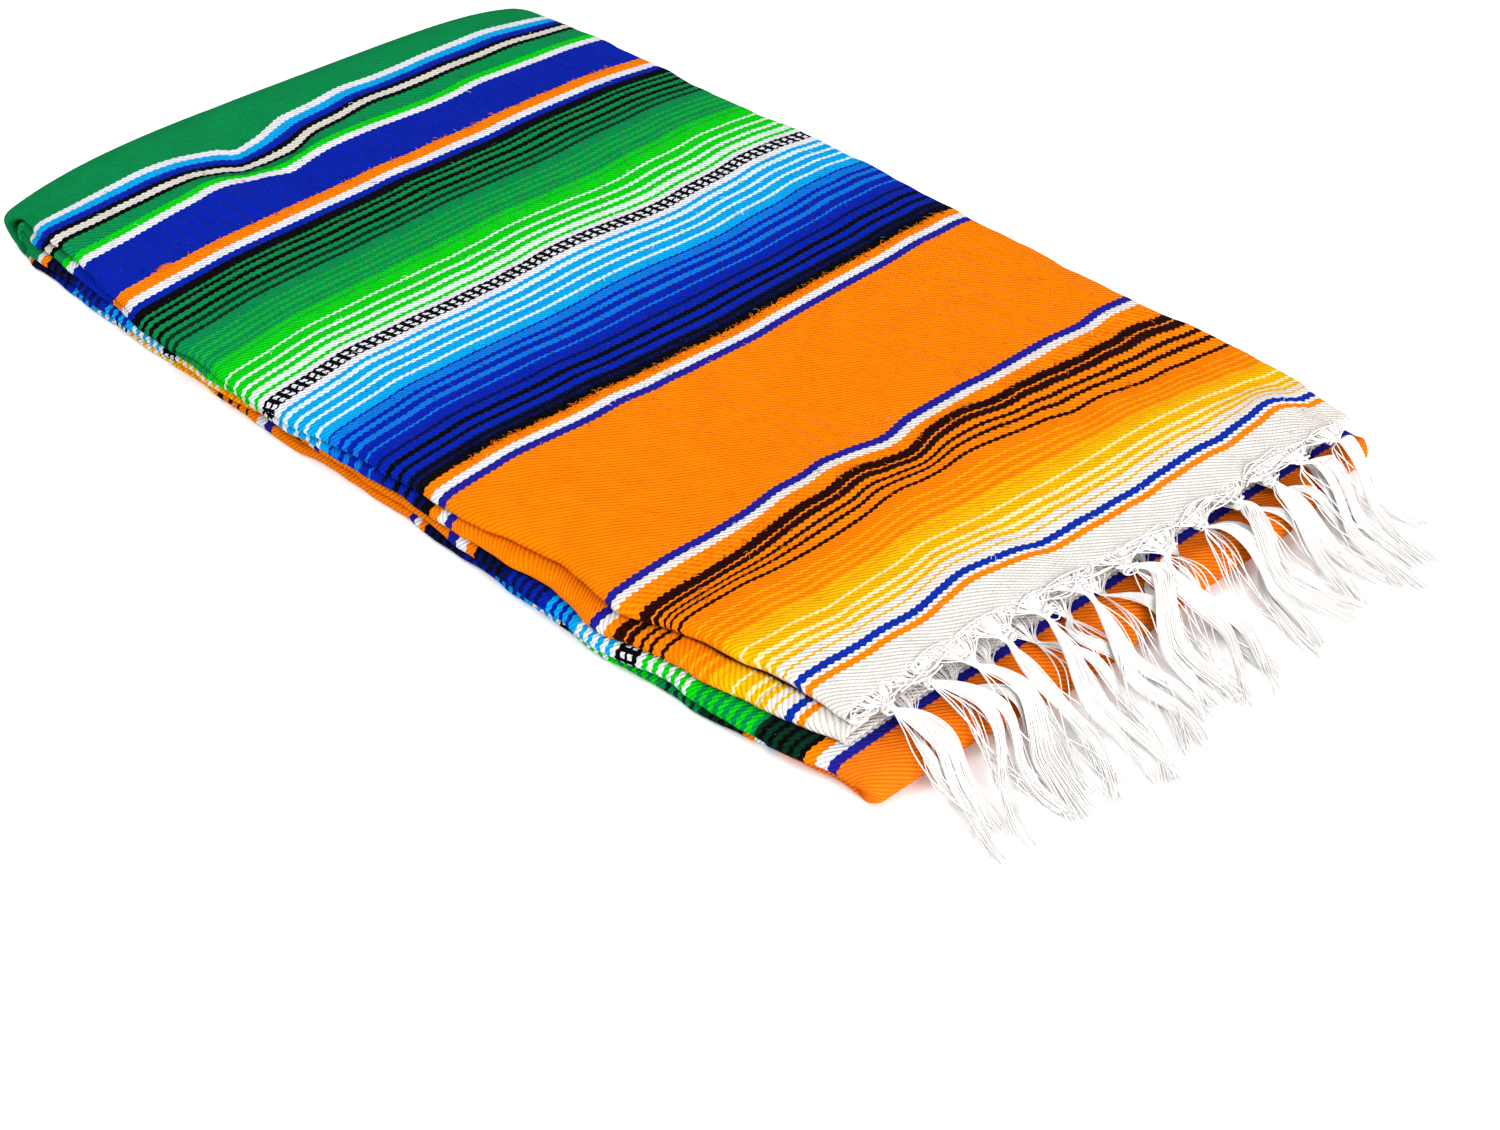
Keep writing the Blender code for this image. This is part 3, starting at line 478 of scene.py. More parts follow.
def clothMaterial(name, chart, start, chains=()):
    # Weft-faced wool-like cloth, beaten hard over its warps and brushed: the eye sees matte deep
    # dyes without a shine, fine ribs that lie aslant like cords, and felted, fuzzy stripe edges.
    # Single fibres are too fine to show, so nap and lint are drawn as coarse as they need to be; the lint's
    # pale specks are also painted glints.
    material, tree = newMaterial(name)
    cloth = addNode(tree, "UVMap", uv_map="cloth")
    across, along = addNode(tree, "SeparateXYZ", (cloth,)).node.outputs[:2]
    # wander and fuzz: (noise - 0.5) * reach
    slow = addNode(tree, "TexNoise", {"Vector": cloth, "Scale": weave["wanderScale"], "Detail": 1.0})
    wander = addNode(tree, "Math", (slow, weave["wander"], -0.5 * weave["wander"]), operation="MULTIPLY_ADD")
    fine = addNode(tree, "TexNoise", {"Vector": cloth, "Scale": weave["fuzzScale"], "Detail": 3.0})
    fuzz = addNode(tree, "Math", (fine, weave["fuzz"], -0.5 * weave["fuzz"]), operation="MULTIPLY_ADD")
    # the twisted edge: bite * (sine + 0.2 * sine of twice) of 2 pi * (across / tooth + along / slant)
    turned = addNode(tree, "Math", (across, 2 * math.pi / weave["tooth"]), operation="MULTIPLY")
    leaning = addNode(tree, "Math", (along, 2 * math.pi / weave["slant"], turned), operation="MULTIPLY_ADD")
    twice = addNode(tree, "Math", (leaning, 2.0), operation="MULTIPLY")
    sharper = addNode(tree, "Math", (twice,), operation="SINE")
    wave = addNode(tree, "Math", (leaning,), operation="SINE")
    saw = addNode(tree, "Math", (sharper, 0.2, wave), operation="MULTIPLY_ADD")
    # place on the chart = along + wander + fuzz + bite * saw
    strayed = addNode(tree, "Math", (along, wander), operation="ADD")
    fuzzy = addNode(tree, "Math", (strayed, fuzz), operation="ADD")
    place = addNode(tree, "Math", (saw, weave["bite"], fuzzy), operation="MULTIPLY_ADD")
    colour = stripeColour(tree, place, start, chart)
    for centre in chains:
        # two rows of white loops, where | |place - centre| - chainRow | is under chainYarn and
        # the sine of 2 pi * across / chain, leaning with the distance from the centre, is above 0
        offset = addNode(tree, "Math", (place, centre), operation="SUBTRACT")
        distance = addNode(tree, "Math", (offset,), operation="ABSOLUTE")
        fromRow = addNode(tree, "Math", (distance, weave["chainRow"]), operation="SUBTRACT")
        offRow = addNode(tree, "Math", (fromRow,), operation="ABSOLUTE")
        inRow = addNode(tree, "Math", (offRow, weave["chainYarn"]), operation="LESS_THAN")
        turned = addNode(tree, "Math", (across, 2 * math.pi / weave["chain"]), operation="MULTIPLY")
        tilted = addNode(tree, "Math", (offset, weave["chainLean"], turned), operation="MULTIPLY_ADD")
        wave = addNode(tree, "Math", (tilted,), operation="SINE")
        loop = addNode(tree, "Math", (wave, 0.0), operation="GREATER_THAN")
        inside = addNode(tree, "Math", (inRow, loop), operation="MULTIPLY")
        colour = addNode(tree, "Mix", {0: inside, 6: colour, 7: dye("white")}, output=2, data_type="RGBA")
    # ribs of single picks, and cords that lie aslant over two of them:
    # rib * |sin(pi * along / pick)| + |sin(pi * (along / cord + across / tooth))| + nap * noise
    pickTurn = addNode(tree, "Math", (strayed, math.pi / weave["pick"]), operation="MULTIPLY")
    pickWave = addNode(tree, "Math", (pickTurn,), operation="SINE")
    rib = addNode(tree, "Math", (pickWave,), operation="ABSOLUTE")
    cordTurn = addNode(tree, "Math", (along, math.pi / weave["cord"]), operation="MULTIPLY")
    cordTurn = addNode(tree, "Math", (across, math.pi / weave["tooth"], cordTurn), operation="MULTIPLY_ADD")
    cordWave = addNode(tree, "Math", (cordTurn,), operation="SINE")
    cord = addNode(tree, "Math", (cordWave,), operation="ABSOLUTE")
    height = addNode(tree, "Math", (rib, weave["rib"], cord), operation="MULTIPLY_ADD")
    stretched = addNode(tree, "Mapping", {"Vector": cloth, "Scale": weave["napScale"]})
    nap = addNode(tree, "TexNoise", {"Vector": stretched, "Scale": 1.0, "Detail": 4.0})
    height = addNode(tree, "Math", (nap, weave["nap"], height), operation="MULTIPLY_ADD")
    # painted shade and painted highlight: hollows between the yarns are a third darker and their crowns an
    # eighth lighter
    shade = addNode(tree, "MapRange", (height, *weave["heights"], *weave["paintedShades"]))
    patch = addNode(tree, "TexNoise", {"Vector": cloth, "Scale": weave["patchScale"], "Detail": 4.0})
    patches = addNode(tree, "MapRange", (patch, 0.3, 0.7, *weave["patchShades"]))
    shade = addNode(tree, "Math", (shade, patches), operation="MULTIPLY")
    grey = addNode(tree, "CombineColor", (shade, shade, shade))
    colour = addNode(tree, "Mix", {0: 1.0, 6: colour, 7: grey}, output=2, data_type="RGBA",
                     blend_type="MULTIPLY")
    # tiny pale specks: lint, with painted glints where it catches the light
    lintGlint = addNode(tree, "TexNoise", {"Vector": cloth, "Scale": weave["lintGlintScale"], "Detail": 1.0})
    lintGlintSpeck = addNode(tree, "Math", (lintGlint, weave["lintGlintOver"]), operation="GREATER_THAN")
    lintGlintSpeck = addNode(tree, "Math", (lintGlintSpeck, weave["lintGlintShare"]), operation="MULTIPLY")
    colour = addNode(tree, "Mix", {0: lintGlintSpeck, 6: colour, 7: weave["lintGlint"]}, output=2, data_type="RGBA")
    bump = addNode(tree, "Bump", {"Strength": 1.0, "Distance": weave["relief"], "Height": height})
    shader = addNode(tree, "BsdfPrincipled", {
        "Base Color": colour, "Roughness": 0.95, "Specular IOR Level": 0.0, "IOR": 1.5,
        "Sheen Weight": 0.01, "Sheen Roughness": 0.5, "Normal": bump,
    })
    addNode(tree, "OutputMaterial", {"Surface": shader})
    return material


cotton = {"light": "dcd8d5", "dark": "c9c6c5", "patchScale": 160.0, "twist": 0.0014, "relief": 0.00012}


def yarnMaterial(name):
    # Unbleached cotton warp, spun and left undyed: the eye sees matte white yarn with a soft twist
    # and faintly see-through fibres. The twist is the sine of angle + 2 pi * along / twist.
    material, tree = newMaterial(name)
    cloth = addNode(tree, "UVMap", uv_map="cloth")
    angle, along = addNode(tree, "SeparateXYZ", (cloth,)).node.outputs[:2]
    twist = addNode(tree, "Math", (along, 2 * math.pi / cotton["twist"], angle), operation="MULTIPLY_ADD")
    wave = addNode(tree, "Math", (twist,), operation="SINE")
    place = addNode(tree, "TexCoord", output="Object")
    slow = addNode(tree, "TexNoise", {"Vector": place, "Scale": cotton["patchScale"], "Detail": 3.0})
    colour = addNode(tree, "Mix", {0: slow, 6: linear(cotton["light"]), 7: linear(cotton["dark"])},
                     output=2, data_type="RGBA")
    bump = addNode(tree, "Bump", {"Strength": 0.4, "Distance": cotton["relief"], "Height": wave})
    shader = addNode(tree, "BsdfPrincipled", {
        "Base Color": colour, "Roughness": 0.85, "Specular IOR Level": 0.1, "IOR": 1.5,
        "Sheen Weight": 0.02, "Sheen Roughness": 0.5, "Subsurface Weight": 0.06,
        "Subsurface Scale": 0.002, "Normal": bump,
    })
    addNode(tree, "OutputMaterial", {"Surface": shader})
    return material


def dress(obj, material, slot, *nodes):
    # its material, its body and the solids that it stands for; slot is not used
    obj.data.materials.append(material)
    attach(obj, "root")
    if nodes:
        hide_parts(*nodes)
    return obj


# Top stretch and back fold, in one piece from the top hem over the back to the floor.
topPiece = {"step": 0.0026, "foldRows": 26, "seed": 3, "chartStart": 0.002, "chains": (0.3618,)}
gap = stack["gap"]
topStack = straight(top, stack["height"], stack["second"] + gap, 0.0, stack["backTurn"], topPiece["step"])
backFold = turn(stack["backTurn"], stack["third"],
                (stack["backBulge"], stack["height"] - stack["third"], stack["third"]),
                (stack["backBulge"] - stack["backDepth"], stack["second"] + gap - stack["third"],
                 stack["third"] - stack["under"] + gap),
                np.linspace(90, -90, topPiece["foldRows"]), top, under)
topCloth, topWide, topLong = clothShell("topCloth", joined(topStack, backFold), "both", topPiece["seed"],
                                        step=topPiece["step"], warp=topWarp)
topMaterial = clothMaterial("brushed striped weave, top", readChart(topChart), topPiece["chartStart"],
                            topPiece["chains"])
dress(topCloth, topMaterial, "striped_cloth", "top_stretch", "back_fold")
print("top stretch and back fold,", len(topCloth.data.polygons), "faces")

# Under stretch and front fold: from the back along the floor, round the fold and in under the hems.
underPiece = {"step": 0.0034, "lipStep": 0.0026, "foldRows": 26, "seed": 4, "chains": (0.101, 0.435)}
underStack = straight(under, 0.0, stack["under"] - gap, stack["backTurn"] - stack["seam"],
                      stack["frontTurn"], underPiece["step"])
frontFold = turn(stack["frontTurn"], stack["under"],
                 (stack["frontBulge"], stack["third"] - stack["under"], stack["under"]),
                 (stack["hairpin"], stack["hairpin"], stack["hairpin"]),
                 np.linspace(-90, -270, underPiece["foldRows"]), under, third)
lip = straight(third, stack["third"], stack["under"] + gap, stack["frontTurn"], stack["lipEnd"],
               underPiece["lipStep"])
underCloth, underWide, underLong = clothShell("underCloth", joined(underStack, frontFold, lip), "both",
                                              underPiece["seed"], step=underPiece["step"])
underChart = (
    readChart("green 11 white 3 orange 6")
    + fade(["black", "navy", "blue", "sky", "white"], 0.0765) + [("black", 0.009)]
    + fade(["white", "yellow", "orange"], 0.0724)
    + readChart("brown 4.5 orange 3.5 brown 3 orange 4 brown 2 orange 4.5 brown 1.8 orange 6")
    + readChart("orange 2 white 6 violet 5.7 orange 101 violet 4 white 4 orange 4")
    + fade(["black", "navy", "blue", "sky", "white"], 0.0966) + [("black", 0.009)]
    + fade(["white", "lime", "green", "forest", "black"], 0.1044)
    # the front fold's long band is the orange dye painted redder, as painted bounce light on the fold
    + readChart("orange 6 white 5.5 violet 5.5 flame 90.6 violet 5 white 6 orange 5")
    + fade(["black", "forest", "green", "lime", "white"], 0.096)
)
underMaterial = clothMaterial("brushed striped weave, underside", underChart, 0.0, underPiece["chains"])
dress(underCloth, underMaterial, "striped_cloth", "under_stretch", "front_fold")
print("under stretch and front fold,", len(underCloth.data.polygons), "faces")

# Rolled edges of the two inner stretches, and the second hem.
edgeStep = 0.0026
thirdPiece = {"seed": 7, "chartStart": 0.036, "chains": (0.1125, 0.4465)}
# the second stretch has the top one's pattern, a millimetre further back
secondPiece = {"seed": 9, "turnRows": 18, "chartStart": 0.003, "chains": (0.3628,)}
hemPiece = {"seed": 11, "step": 0.004}
thirdChart = (
    fade(["green", "lime", "white"], 0.071) + [("black", 0.011)]
    + fade(["white", "sky", "blue", "navy", "black"], 0.099)
    + readChart("orange 6 white 6 violet 7 orange 96 violet 4 white 4.5 orange 6")
    + readChart("brown 4 orange 3.5 brown 2.5 orange 3.5 brown 2")
    + fade(["orange", "yellow", "white"], 0.080) + [("black", 0.009)]
    + fade(["white", "sky", "blue", "navy", "black"], 0.099)
    + readChart("orange 5 white 4 green 60")
)
thirdRows = straight(third, stack["third"], stack["under"] + gap, stack["lipEnd"] + gap,
                     stack["backTurn"] + stack["slack"], edgeStep)
innerTurn = turn(stack["backTurn"] + stack["slack"] + gap, stack["third"],
                 (stack["hairpin"], stack["hairpin"], stack["hairpin"]),
                 (stack["innerBulge"], stack["second"] - gap - stack["third"],
                  stack["third"] - stack["under"] - gap),
                 np.linspace(*stack["turnAngles"], secondPiece["turnRows"]), third, second)
secondStack = straight(second, stack["third"] + gap, stack["second"] - gap,
                       stack["backTurn"] + stack["slack"], stack["hemEnd"] + gap, edgeStep)
secondRows = joined(innerTurn, secondStack)
secondTravel = np.cumsum(np.linalg.norm(np.diff(secondRows[0], axis=0), axis=1))
secondY = stack["hemEnd"] + gap + secondTravel[-1] - np.concatenate([[0.0], secondTravel])
thirdMaterial = clothMaterial("brushed striped weave, third layer", thirdChart, thirdPiece["chartStart"],
                              thirdPiece["chains"])
secondMaterial = clothMaterial("brushed striped weave, second layer", readChart(topChart),
                               secondPiece["chartStart"], secondPiece["chains"])
for side in ("left", "right"):
    for layer, rows, seed, tableY, material in (
            ("third", thirdRows, thirdPiece["seed"], thirdRows[0][:, 0], thirdMaterial),
            ("second", secondRows, secondPiece["seed"], secondY, secondMaterial)):
        piece, wide, long = clothShell(layer + side.capitalize(), rows, side, seed, tableY=tableY)
        dress(piece, material, "striped_cloth", f"{layer}_stretch_{side}_edge")

hemRows = straight(second, stack["third"] + gap, stack["second"] - gap, stack["hemEnd"], 0.0, edgeStep)
secondHem, hemWide, hemLong = clothShell("secondHem", hemRows, "both", hemPiece["seed"],
                                         step=hemPiece["step"], tableY=hemRows[0][:, 0])
dress(secondHem, secondMaterial, "striped_cloth", "second_hem")

# Inner plies, seen only end on between the hems.
plies = {
    "levels": (0.0036, 0.0050, 0.0116, 0.0148, 0.0208, 0.0222, 0.0244, 0.0300, 0.0322, 0.0338),
    "thickness": 0.0010,
    "width": 0.34, "length": 0.59,      # of one ply, laid flat
    "inset": 0.016,                     # from the stack's edges
    "hemY": 0.004, "stagger": 0.0012,   # upper plies start here, each a little further in
    "frontY": -0.016, "backInset": 0.004,
    "step": 0.010, "columns": 30,
}


def innerPlies():
    # flat slabs at the listed heights, each as wide as its stretch less the inset
    points, faces, uvs, base = [], [], [], 0
    for number, z in enumerate(plies["levels"]):
        upper = z > stack["third"]
        yStart = plies["hemY"] + plies["stagger"] * (number % 3) if upper else plies["frontY"]
        y = np.linspace(yStart, stack["backTurn"] - plies["backInset"], int(plies["length"] / plies["step"]))
        left, right = widths(y, top if upper else under if z < stack["under"] else third)
        share = np.linspace(0.0, 1.0, plies["columns"])
        x = -(left - plies["inset"])[:, None] + (left + right - 2 * plies["inset"])[:, None] * share
        for height in (z, z - plies["thickness"]):
            grid = np.stack([x, np.broadcast_to(y[:, None], x.shape), np.full_like(x, height)], -1)
            points.append(lay(grid).reshape(-1, 3))
            uvs.append(grid[..., :2].reshape(-1, 2))
        faces.append(slabFaces(*x.shape, base))
        base += 2 * x.size
    return meshObject("innerPlies", np.concatenate(points), [np.concatenate(faces)], np.concatenate(uvs))


layers = dress(innerPlies(), secondMaterial, "striped_cloth", "hidden_layers")
print("inner plies,", len(layers.data.polygons), "faces")

# Fringes: each knot gathers a piece of the hem, and its yarns fall from it in flat locks.
fringe = {
    "knots": 13, "ends": (-0.154, 0.157),            # knots of the top hem, and the outer two
    "knotShift": 0.0035, "knotY": (-0.0125, -0.0065), "knotLength": 0.002,
    "gathers": 0.0258,                               # width of hem that one knot takes up
    "reach": (0.074, 0.099),                         # from the hem to the yarns' ends
    "leftReach": ((-0.150, -0.120), (0.87, 1.0)),    # shorter at the left corner: x, share of it
    "yarns": 17, "yarn": 0.00034,                    # in one lock, and the radius of one
    "points": 12,                                    # of a yarn's path past its knot
    "lock": 0.0078, "lockShare": (0.75, 1.15),       # width of a lock, and how it varies
    "apart": 0.0050, "crossing": 0.006, "splay": (-0.004, 0.022),   # between a knot's two locks
    "swing": (0.0025, 0.0080), "turns": (0.5, 1.0),  # the wave that a lock goes in
    "arch": (0.002, 0.013), "archEnd": 0.62,         # sideways out of the knot, before it falls
    "lift": (0.0005, 0.0045),                        # off the cloth under it
    "twist": 0.8, "twistTurns": (0.3, 0.9),          # about its own length
    "wobble": 0.00016, "endsWobble": 0.0016,
    "rootY": (-0.0010, 0.0032), "rootLift": (0.0002, 0.0012), "rootWobble": 0.001,
    "stray": 5, "strayReach": (0.050, 0.092),        # single yarns that go astray
    "strayBend": (0.003, 0.010), "strayLift": (0.001, 0.004),
}
# how far the locks lean to the side at 100 mm from the hem: x, lean
leans = np.array([(-0.154, -0.017), (-0.10, -0.019), (-0.05, -0.026), (-0.01, -0.034), (0.03, -0.026),
                  (0.07, -0.008), (0.157, -0.004)])
# a lock's way over the front fold to the floor: y, z
topWay = np.array([
    (0.001, 0.0345), (-0.0095, 0.0326), (-0.014, 0.0306), (-0.023, 0.0262), (-0.032, 0.0200),
    (-0.0405, 0.0116), (-0.050, 0.0050), (-0.064, 0.0024), (-0.110, 0.0016),
])
secondWay = np.array([
    (0.001, 0.0262), (-0.0095, 0.0206), (-0.017, 0.0206), (-0.0265, 0.0192), (-0.0345, 0.0130),
    (-0.0415, 0.0048), (-0.054, 0.0022), (-0.110, 0.0012),
])


def smoothPaths(paths, rounds=2):
    # cuts each corner at a quarter and three quarters, and keeps both ends
    for _ in range(rounds):
        a = paths[:, :-1] * 0.75 + paths[:, 1:] * 0.25
        b = paths[:, :-1] * 0.25 + paths[:, 1:] * 0.75
        between = np.stack([a, b], axis=2).reshape(len(paths), -1, 3)
        paths = np.concatenate([paths[:, :1], between, paths[:, -1:]], axis=1)
    return paths


def yarnMesh(name, paths, radius, sides=3):
    # thin closed tubes along many paths at once: point = path + radius * (across * cos + upward * sin)
    travel = np.gradient(paths, axis=1)
    travel /= np.linalg.norm(travel, axis=-1, keepdims=True) + 1e-12
    across = np.cross(travel, np.array([0.02, 0.01, 1.0]))      # not quite upright, so never along a path
    across /= np.linalg.norm(across, axis=-1, keepdims=True) + 1e-12
    upward = np.cross(across, travel)
    angle = 2 * np.pi * np.arange(sides) / sides
    ring = across[:, :, None] * np.cos(angle)[:, None] + upward[:, :, None] * np.sin(angle)[:, None]
    points = paths[:, :, None] + ring * radius
    count, length = paths.shape[:2]
    index = np.arange(count * length * sides).reshape(count, length, sides)
    after = np.roll(index, -1, axis=2)
    quads = np.stack([index[:, :-1], after[:, :-1], after[:, 1:], index[:, 1:]], -1).reshape(-1, 4)
    caps = np.concatenate([index[:, 0, ::-1], index[:, -1]])
    steps = np.linalg.norm(np.diff(paths, axis=1), axis=-1)
    along = np.concatenate([np.zeros((count, 1)), np.cumsum(steps, axis=1)], axis=1)
    uv = np.stack(np.broadcast_arrays(angle[None, None, :], along[:, :, None]), -1)
    return meshObject(name, points.reshape(-1, 3), [quads, caps], uv.reshape(-1, 2))


def fringePaths(xs, way, ribbons, seed, rootZ):
    # Control points of every yarn: a fan from the hem to its knot, then a flat lock to the floor.
    # Along a lock x = knot + lean * (y / 100 mm)^2 + swing + crossing + arch, and z follows the way.
    chance = np.random.default_rng(seed)
    t = np.linspace(0.0, 1.0, fringe["points"])
    paths = []
    for x0 in xs:
        lean = np.interp(x0, leans[:, 0], leans[:, 1])
        x0 = x0 + chance.uniform(-fringe["knotShift"], fringe["knotShift"])
        knotY = chance.uniform(*fringe["knotY"])
        # both locks of a knot share one way, and part towards their ends
        phase, swing = chance.uniform(0, 2 * np.pi), chance.uniform(*fringe["swing"])
        turns = chance.uniform(*fringe["turns"])
        arch = chance.choice([-1, 1]) * chance.uniform(*fringe["arch"])
        for ribbon in range(ribbons):
            side = ribbon - (ribbons - 1) / 2
            reach = chance.uniform(*fringe["reach"]) * np.interp(x0, *fringe["leftReach"])
            crossing = chance.uniform(-fringe["crossing"], fringe["crossing"])
            crossing = crossing + side * chance.uniform(*fringe["splay"])
            lift = chance.uniform(*fringe["lift"])
            half = fringe["lock"] / 2 * chance.uniform(*fringe["lockShare"])
            twist, twistTurns = chance.uniform(0, 2 * np.pi), chance.uniform(*fringe["twistTurns"])
            y = knotY - fringe["knotLength"] - (reach + knotY) * t ** (1.0 + 40.0 * abs(arch))
            x = (x0 + side * fringe["apart"] * np.minimum(1.0, 2.4 * t) + lean * (y / -0.100) ** 2
                 + swing * (np.sin(phase + turns * 2 * np.pi * t) - np.sin(phase)) * np.minimum(1, 2 * t)
                 + crossing * t ** 2.2 + arch * np.sin(np.pi * np.minimum(t / fringe["archEnd"], 1.0)))
            z = np.interp(y, way[::-1, 0], way[::-1, 1]) + lift * np.sin(np.pi * t) ** 2
            # a lock turns a little about its length, so it narrows and shows its edge
            roll = fringe["twist"] * np.sin(twist + twistTurns * 2 * np.pi * t) * (1 - 0.7 * t)
            flat = np.minimum(1.0, 0.25 + 2.4 * t)
            for yarn in range(fringe["yarns"]):
                u = (yarn + 0.5) / fringe["yarns"] * 2 - 1      # place in the lock, -1 to 1
                wobble = chance.normal(0, fringe["wobble"], (len(t), 3)) * (0.6 + 0.7 * t)[:, None]
                body = wobble + np.stack([
                    x + u * half * flat * np.cos(roll),
                    y + 0.0010 * u * np.sin(phase + 5 * t),
                    z + (u + 1) * half * flat * np.abs(np.sin(roll)) * 0.5 + 0.0006 * (yarn % 2)], -1)
                ending = chance.normal(0, fringe["endsWobble"]) - 0.002 * np.sin(9 * u + phase)
                body[-2:, 1] += np.array([0.5, 1.0]) * ending
                # its root lies anywhere along the hem near the knot
                hemX = x0 + (u * 0.5 + side * 0.5) * fringe["gathers"] * 0.8
                hemX = hemX + chance.normal(0, fringe["gathers"] * 0.10)
                rootY = chance.uniform(*fringe["rootY"])
                root = (hemX, rootY, rootZ + chance.uniform(*fringe["rootLift"]))
                fanY = 0.45 * knotY + chance.uniform(-fringe["rootWobble"], fringe["rootWobble"])
                fan = (hemX * 0.80 + x0 * 0.20, fanY, rootZ)
                gathered = (x0 + (hemX - x0) * 0.22, knotY + 0.0014, way[1, 1] + 0.0012)
                paths.append(np.concatenate([[root, fan, gathered], body]))
        for stray in range(fringe["stray"]):
            reach = chance.uniform(*fringe["strayReach"])
            y = knotY - fringe["knotLength"] - (reach + knotY) * t
            bend, phase = chance.uniform(*fringe["strayBend"]), chance.uniform(0, 6.3)
            x = x0 + bend * (np.sin(phase + 4.0 * t) - np.sin(phase)) + lean * (y / -0.100) ** 2
            lift = chance.uniform(*fringe["strayLift"])
            z = np.interp(y, way[::-1, 0], way[::-1, 1]) + lift * np.sin(np.pi * t)
            hemX = x0 + chance.uniform(-0.5, 0.5) * fringe["gathers"]
            start = [(hemX, 0.001, rootZ + 0.0006), (hemX, -0.004, rootZ), (x0, knotY, way[1, 1])]
            paths.append(np.concatenate([start, np.stack([x, y, z], -1)]))
    paths = np.array(paths)
    paths[..., 2] = np.maximum(paths[..., 2], fringe["yarn"] * 1.2)     # none goes into the floor
    return paths


def makeFringe(name, xs, way, ribbons, seed, rootZ):
    # smoothed and laid on the stack, and kept off the floor by a yarn's radius
    paths = lay(smoothPaths(fringePaths(xs, way, ribbons, seed, rootZ)))
    paths[..., 2] = np.maximum(paths[..., 2], fringe["yarn"] * 1.1)
    return yarnMesh(name, paths, fringe["yarn"])


knot = {
    "height": 0.0328, "seed": 31, "points": 16, "yarn": 0.00042,
    "y": -0.0095, "shift": 0.0010,
    "coils": 7, "coilRadius": (0.0025, 0.0004), "coilStep": 0.00062, "tilt": 0.7,
    "loops": 3, "loopReach": (0.003, 0.006), "loopWidth": 0.0018,
    # loose yarns that lie along the frayed hem
    "wisps": 90, "wispLength": (0.010, 0.034), "wispXs": (-0.155, 0.158), "wispYs": (-0.0065, 0.0015),
    "wispBow": 0.004, "wispTilt": 0.20, "wispLift": 0.0018,
    # loose coils of the frayed left corner
    "frays": 12, "frayRadius": (0.0015, 0.0034), "frayXs": (-0.169, -0.156), "frayYs": (-0.007, 0.001),
}


def knotPaths(xs, z, seed):
    # A knot is turns of yarn round the bundle, x and z on an ellipse, and loops that stand off it.
    # A wisp is y = tilt * length * t + bow * cos(pi t), and a fray is a small coil.
    chance = np.random.default_rng(seed)
    paths = []
    for x0 in xs:
        y0 = knot["y"] + chance.uniform(-knot["shift"], knot["shift"])
        for coil in range(knot["coils"]):
            a = np.linspace(0, 2.2 * np.pi, knot["points"]) + chance.uniform(0, 6.3)
            tilt = chance.uniform(-knot["tilt"], knot["tilt"])
            radius = knot["coilRadius"][0] + knot["coilRadius"][1] * chance.uniform(-1, 1)
            alongY = (coil - (knot["coils"] - 1) / 2) * knot["coilStep"]
            paths.append(np.stack([x0 + radius * np.cos(a) * 1.1,
                                   y0 + alongY + tilt * radius * np.cos(a + 0.7),
                                   z + radius * np.sin(a) * 0.8], -1))
        for loop in range(knot["loops"]):
            a = np.linspace(0, 2 * np.pi, knot["points"])
            reach, turned = chance.uniform(*knot["loopReach"]), chance.uniform(0, 6.3)
            out = reach * (0.5 - 0.5 * np.cos(a))
            paths.append(np.stack([x0 + out * np.cos(turned) + knot["loopWidth"] * np.sin(a),
                                   y0 + out * np.sin(turned),
                                   z + 0.0015 + 0.0008 * np.sin(a / 2)], -1))
    for wisp in range(knot["wisps"]):
        t = np.linspace(-0.5, 0.5, knot["points"])
        length, x0 = chance.uniform(*knot["wispLength"]), chance.uniform(*knot["wispXs"])
        bow = chance.uniform(-knot["wispBow"], knot["wispBow"])
        tilt = chance.uniform(-knot["wispTilt"], knot["wispTilt"])
        y = chance.uniform(*knot["wispYs"]) + tilt * length * t + bow * np.cos(np.pi * t)
        lift = 0.0022 + chance.uniform(0.0, knot["wispLift"])
        paths.append(np.stack([x0 + length * t, y, z + lift + 0.10 * np.minimum(y, 0)], -1))
    for fray in range(knot["frays"]):
        a = np.linspace(0, 2.6 * np.pi, knot["points"]) + chance.uniform(0, 6.3)
        radius = chance.uniform(*knot["frayRadius"])
        x0, y0 = chance.uniform(*knot["frayXs"]), chance.uniform(*knot["frayYs"])
        paths.append(np.stack([x0 + radius * np.cos(a), y0 + 0.7 * radius * np.sin(a),
                               z + 0.0005 + 0.0010 * np.sin(a * 0.7)], -1))
    return np.array(paths)


knotXs = np.linspace(*fringe["ends"], fringe["knots"])
whiteWarp = yarnMaterial("white cotton warp")
topFringe = makeFringe("topFringe", knotXs, topWay, ribbons=2, seed=21, rootZ=0.0351)
dress(topFringe, whiteWarp, "white_warp", "top_fringe")
topKnots = yarnMesh("topKnots", lay(smoothPaths(knotPaths(knotXs, knot["height"], knot["seed"]), 1)),
                    knot["yarn"], 4)
dress(topKnots, whiteWarp, "white_warp")
# the second hem's knots lie between the top hem's
secondFringe = makeFringe("secondFringe", (knotXs[1:] + knotXs[:-1]) / 2, secondWay, ribbons=1, seed=22,
                          rootZ=0.0262)
dress(secondFringe, whiteWarp, "white_warp", "second_fringe")
print("fringes,", len(topFringe.data.polygons) + len(secondFringe.data.polygons), "faces")

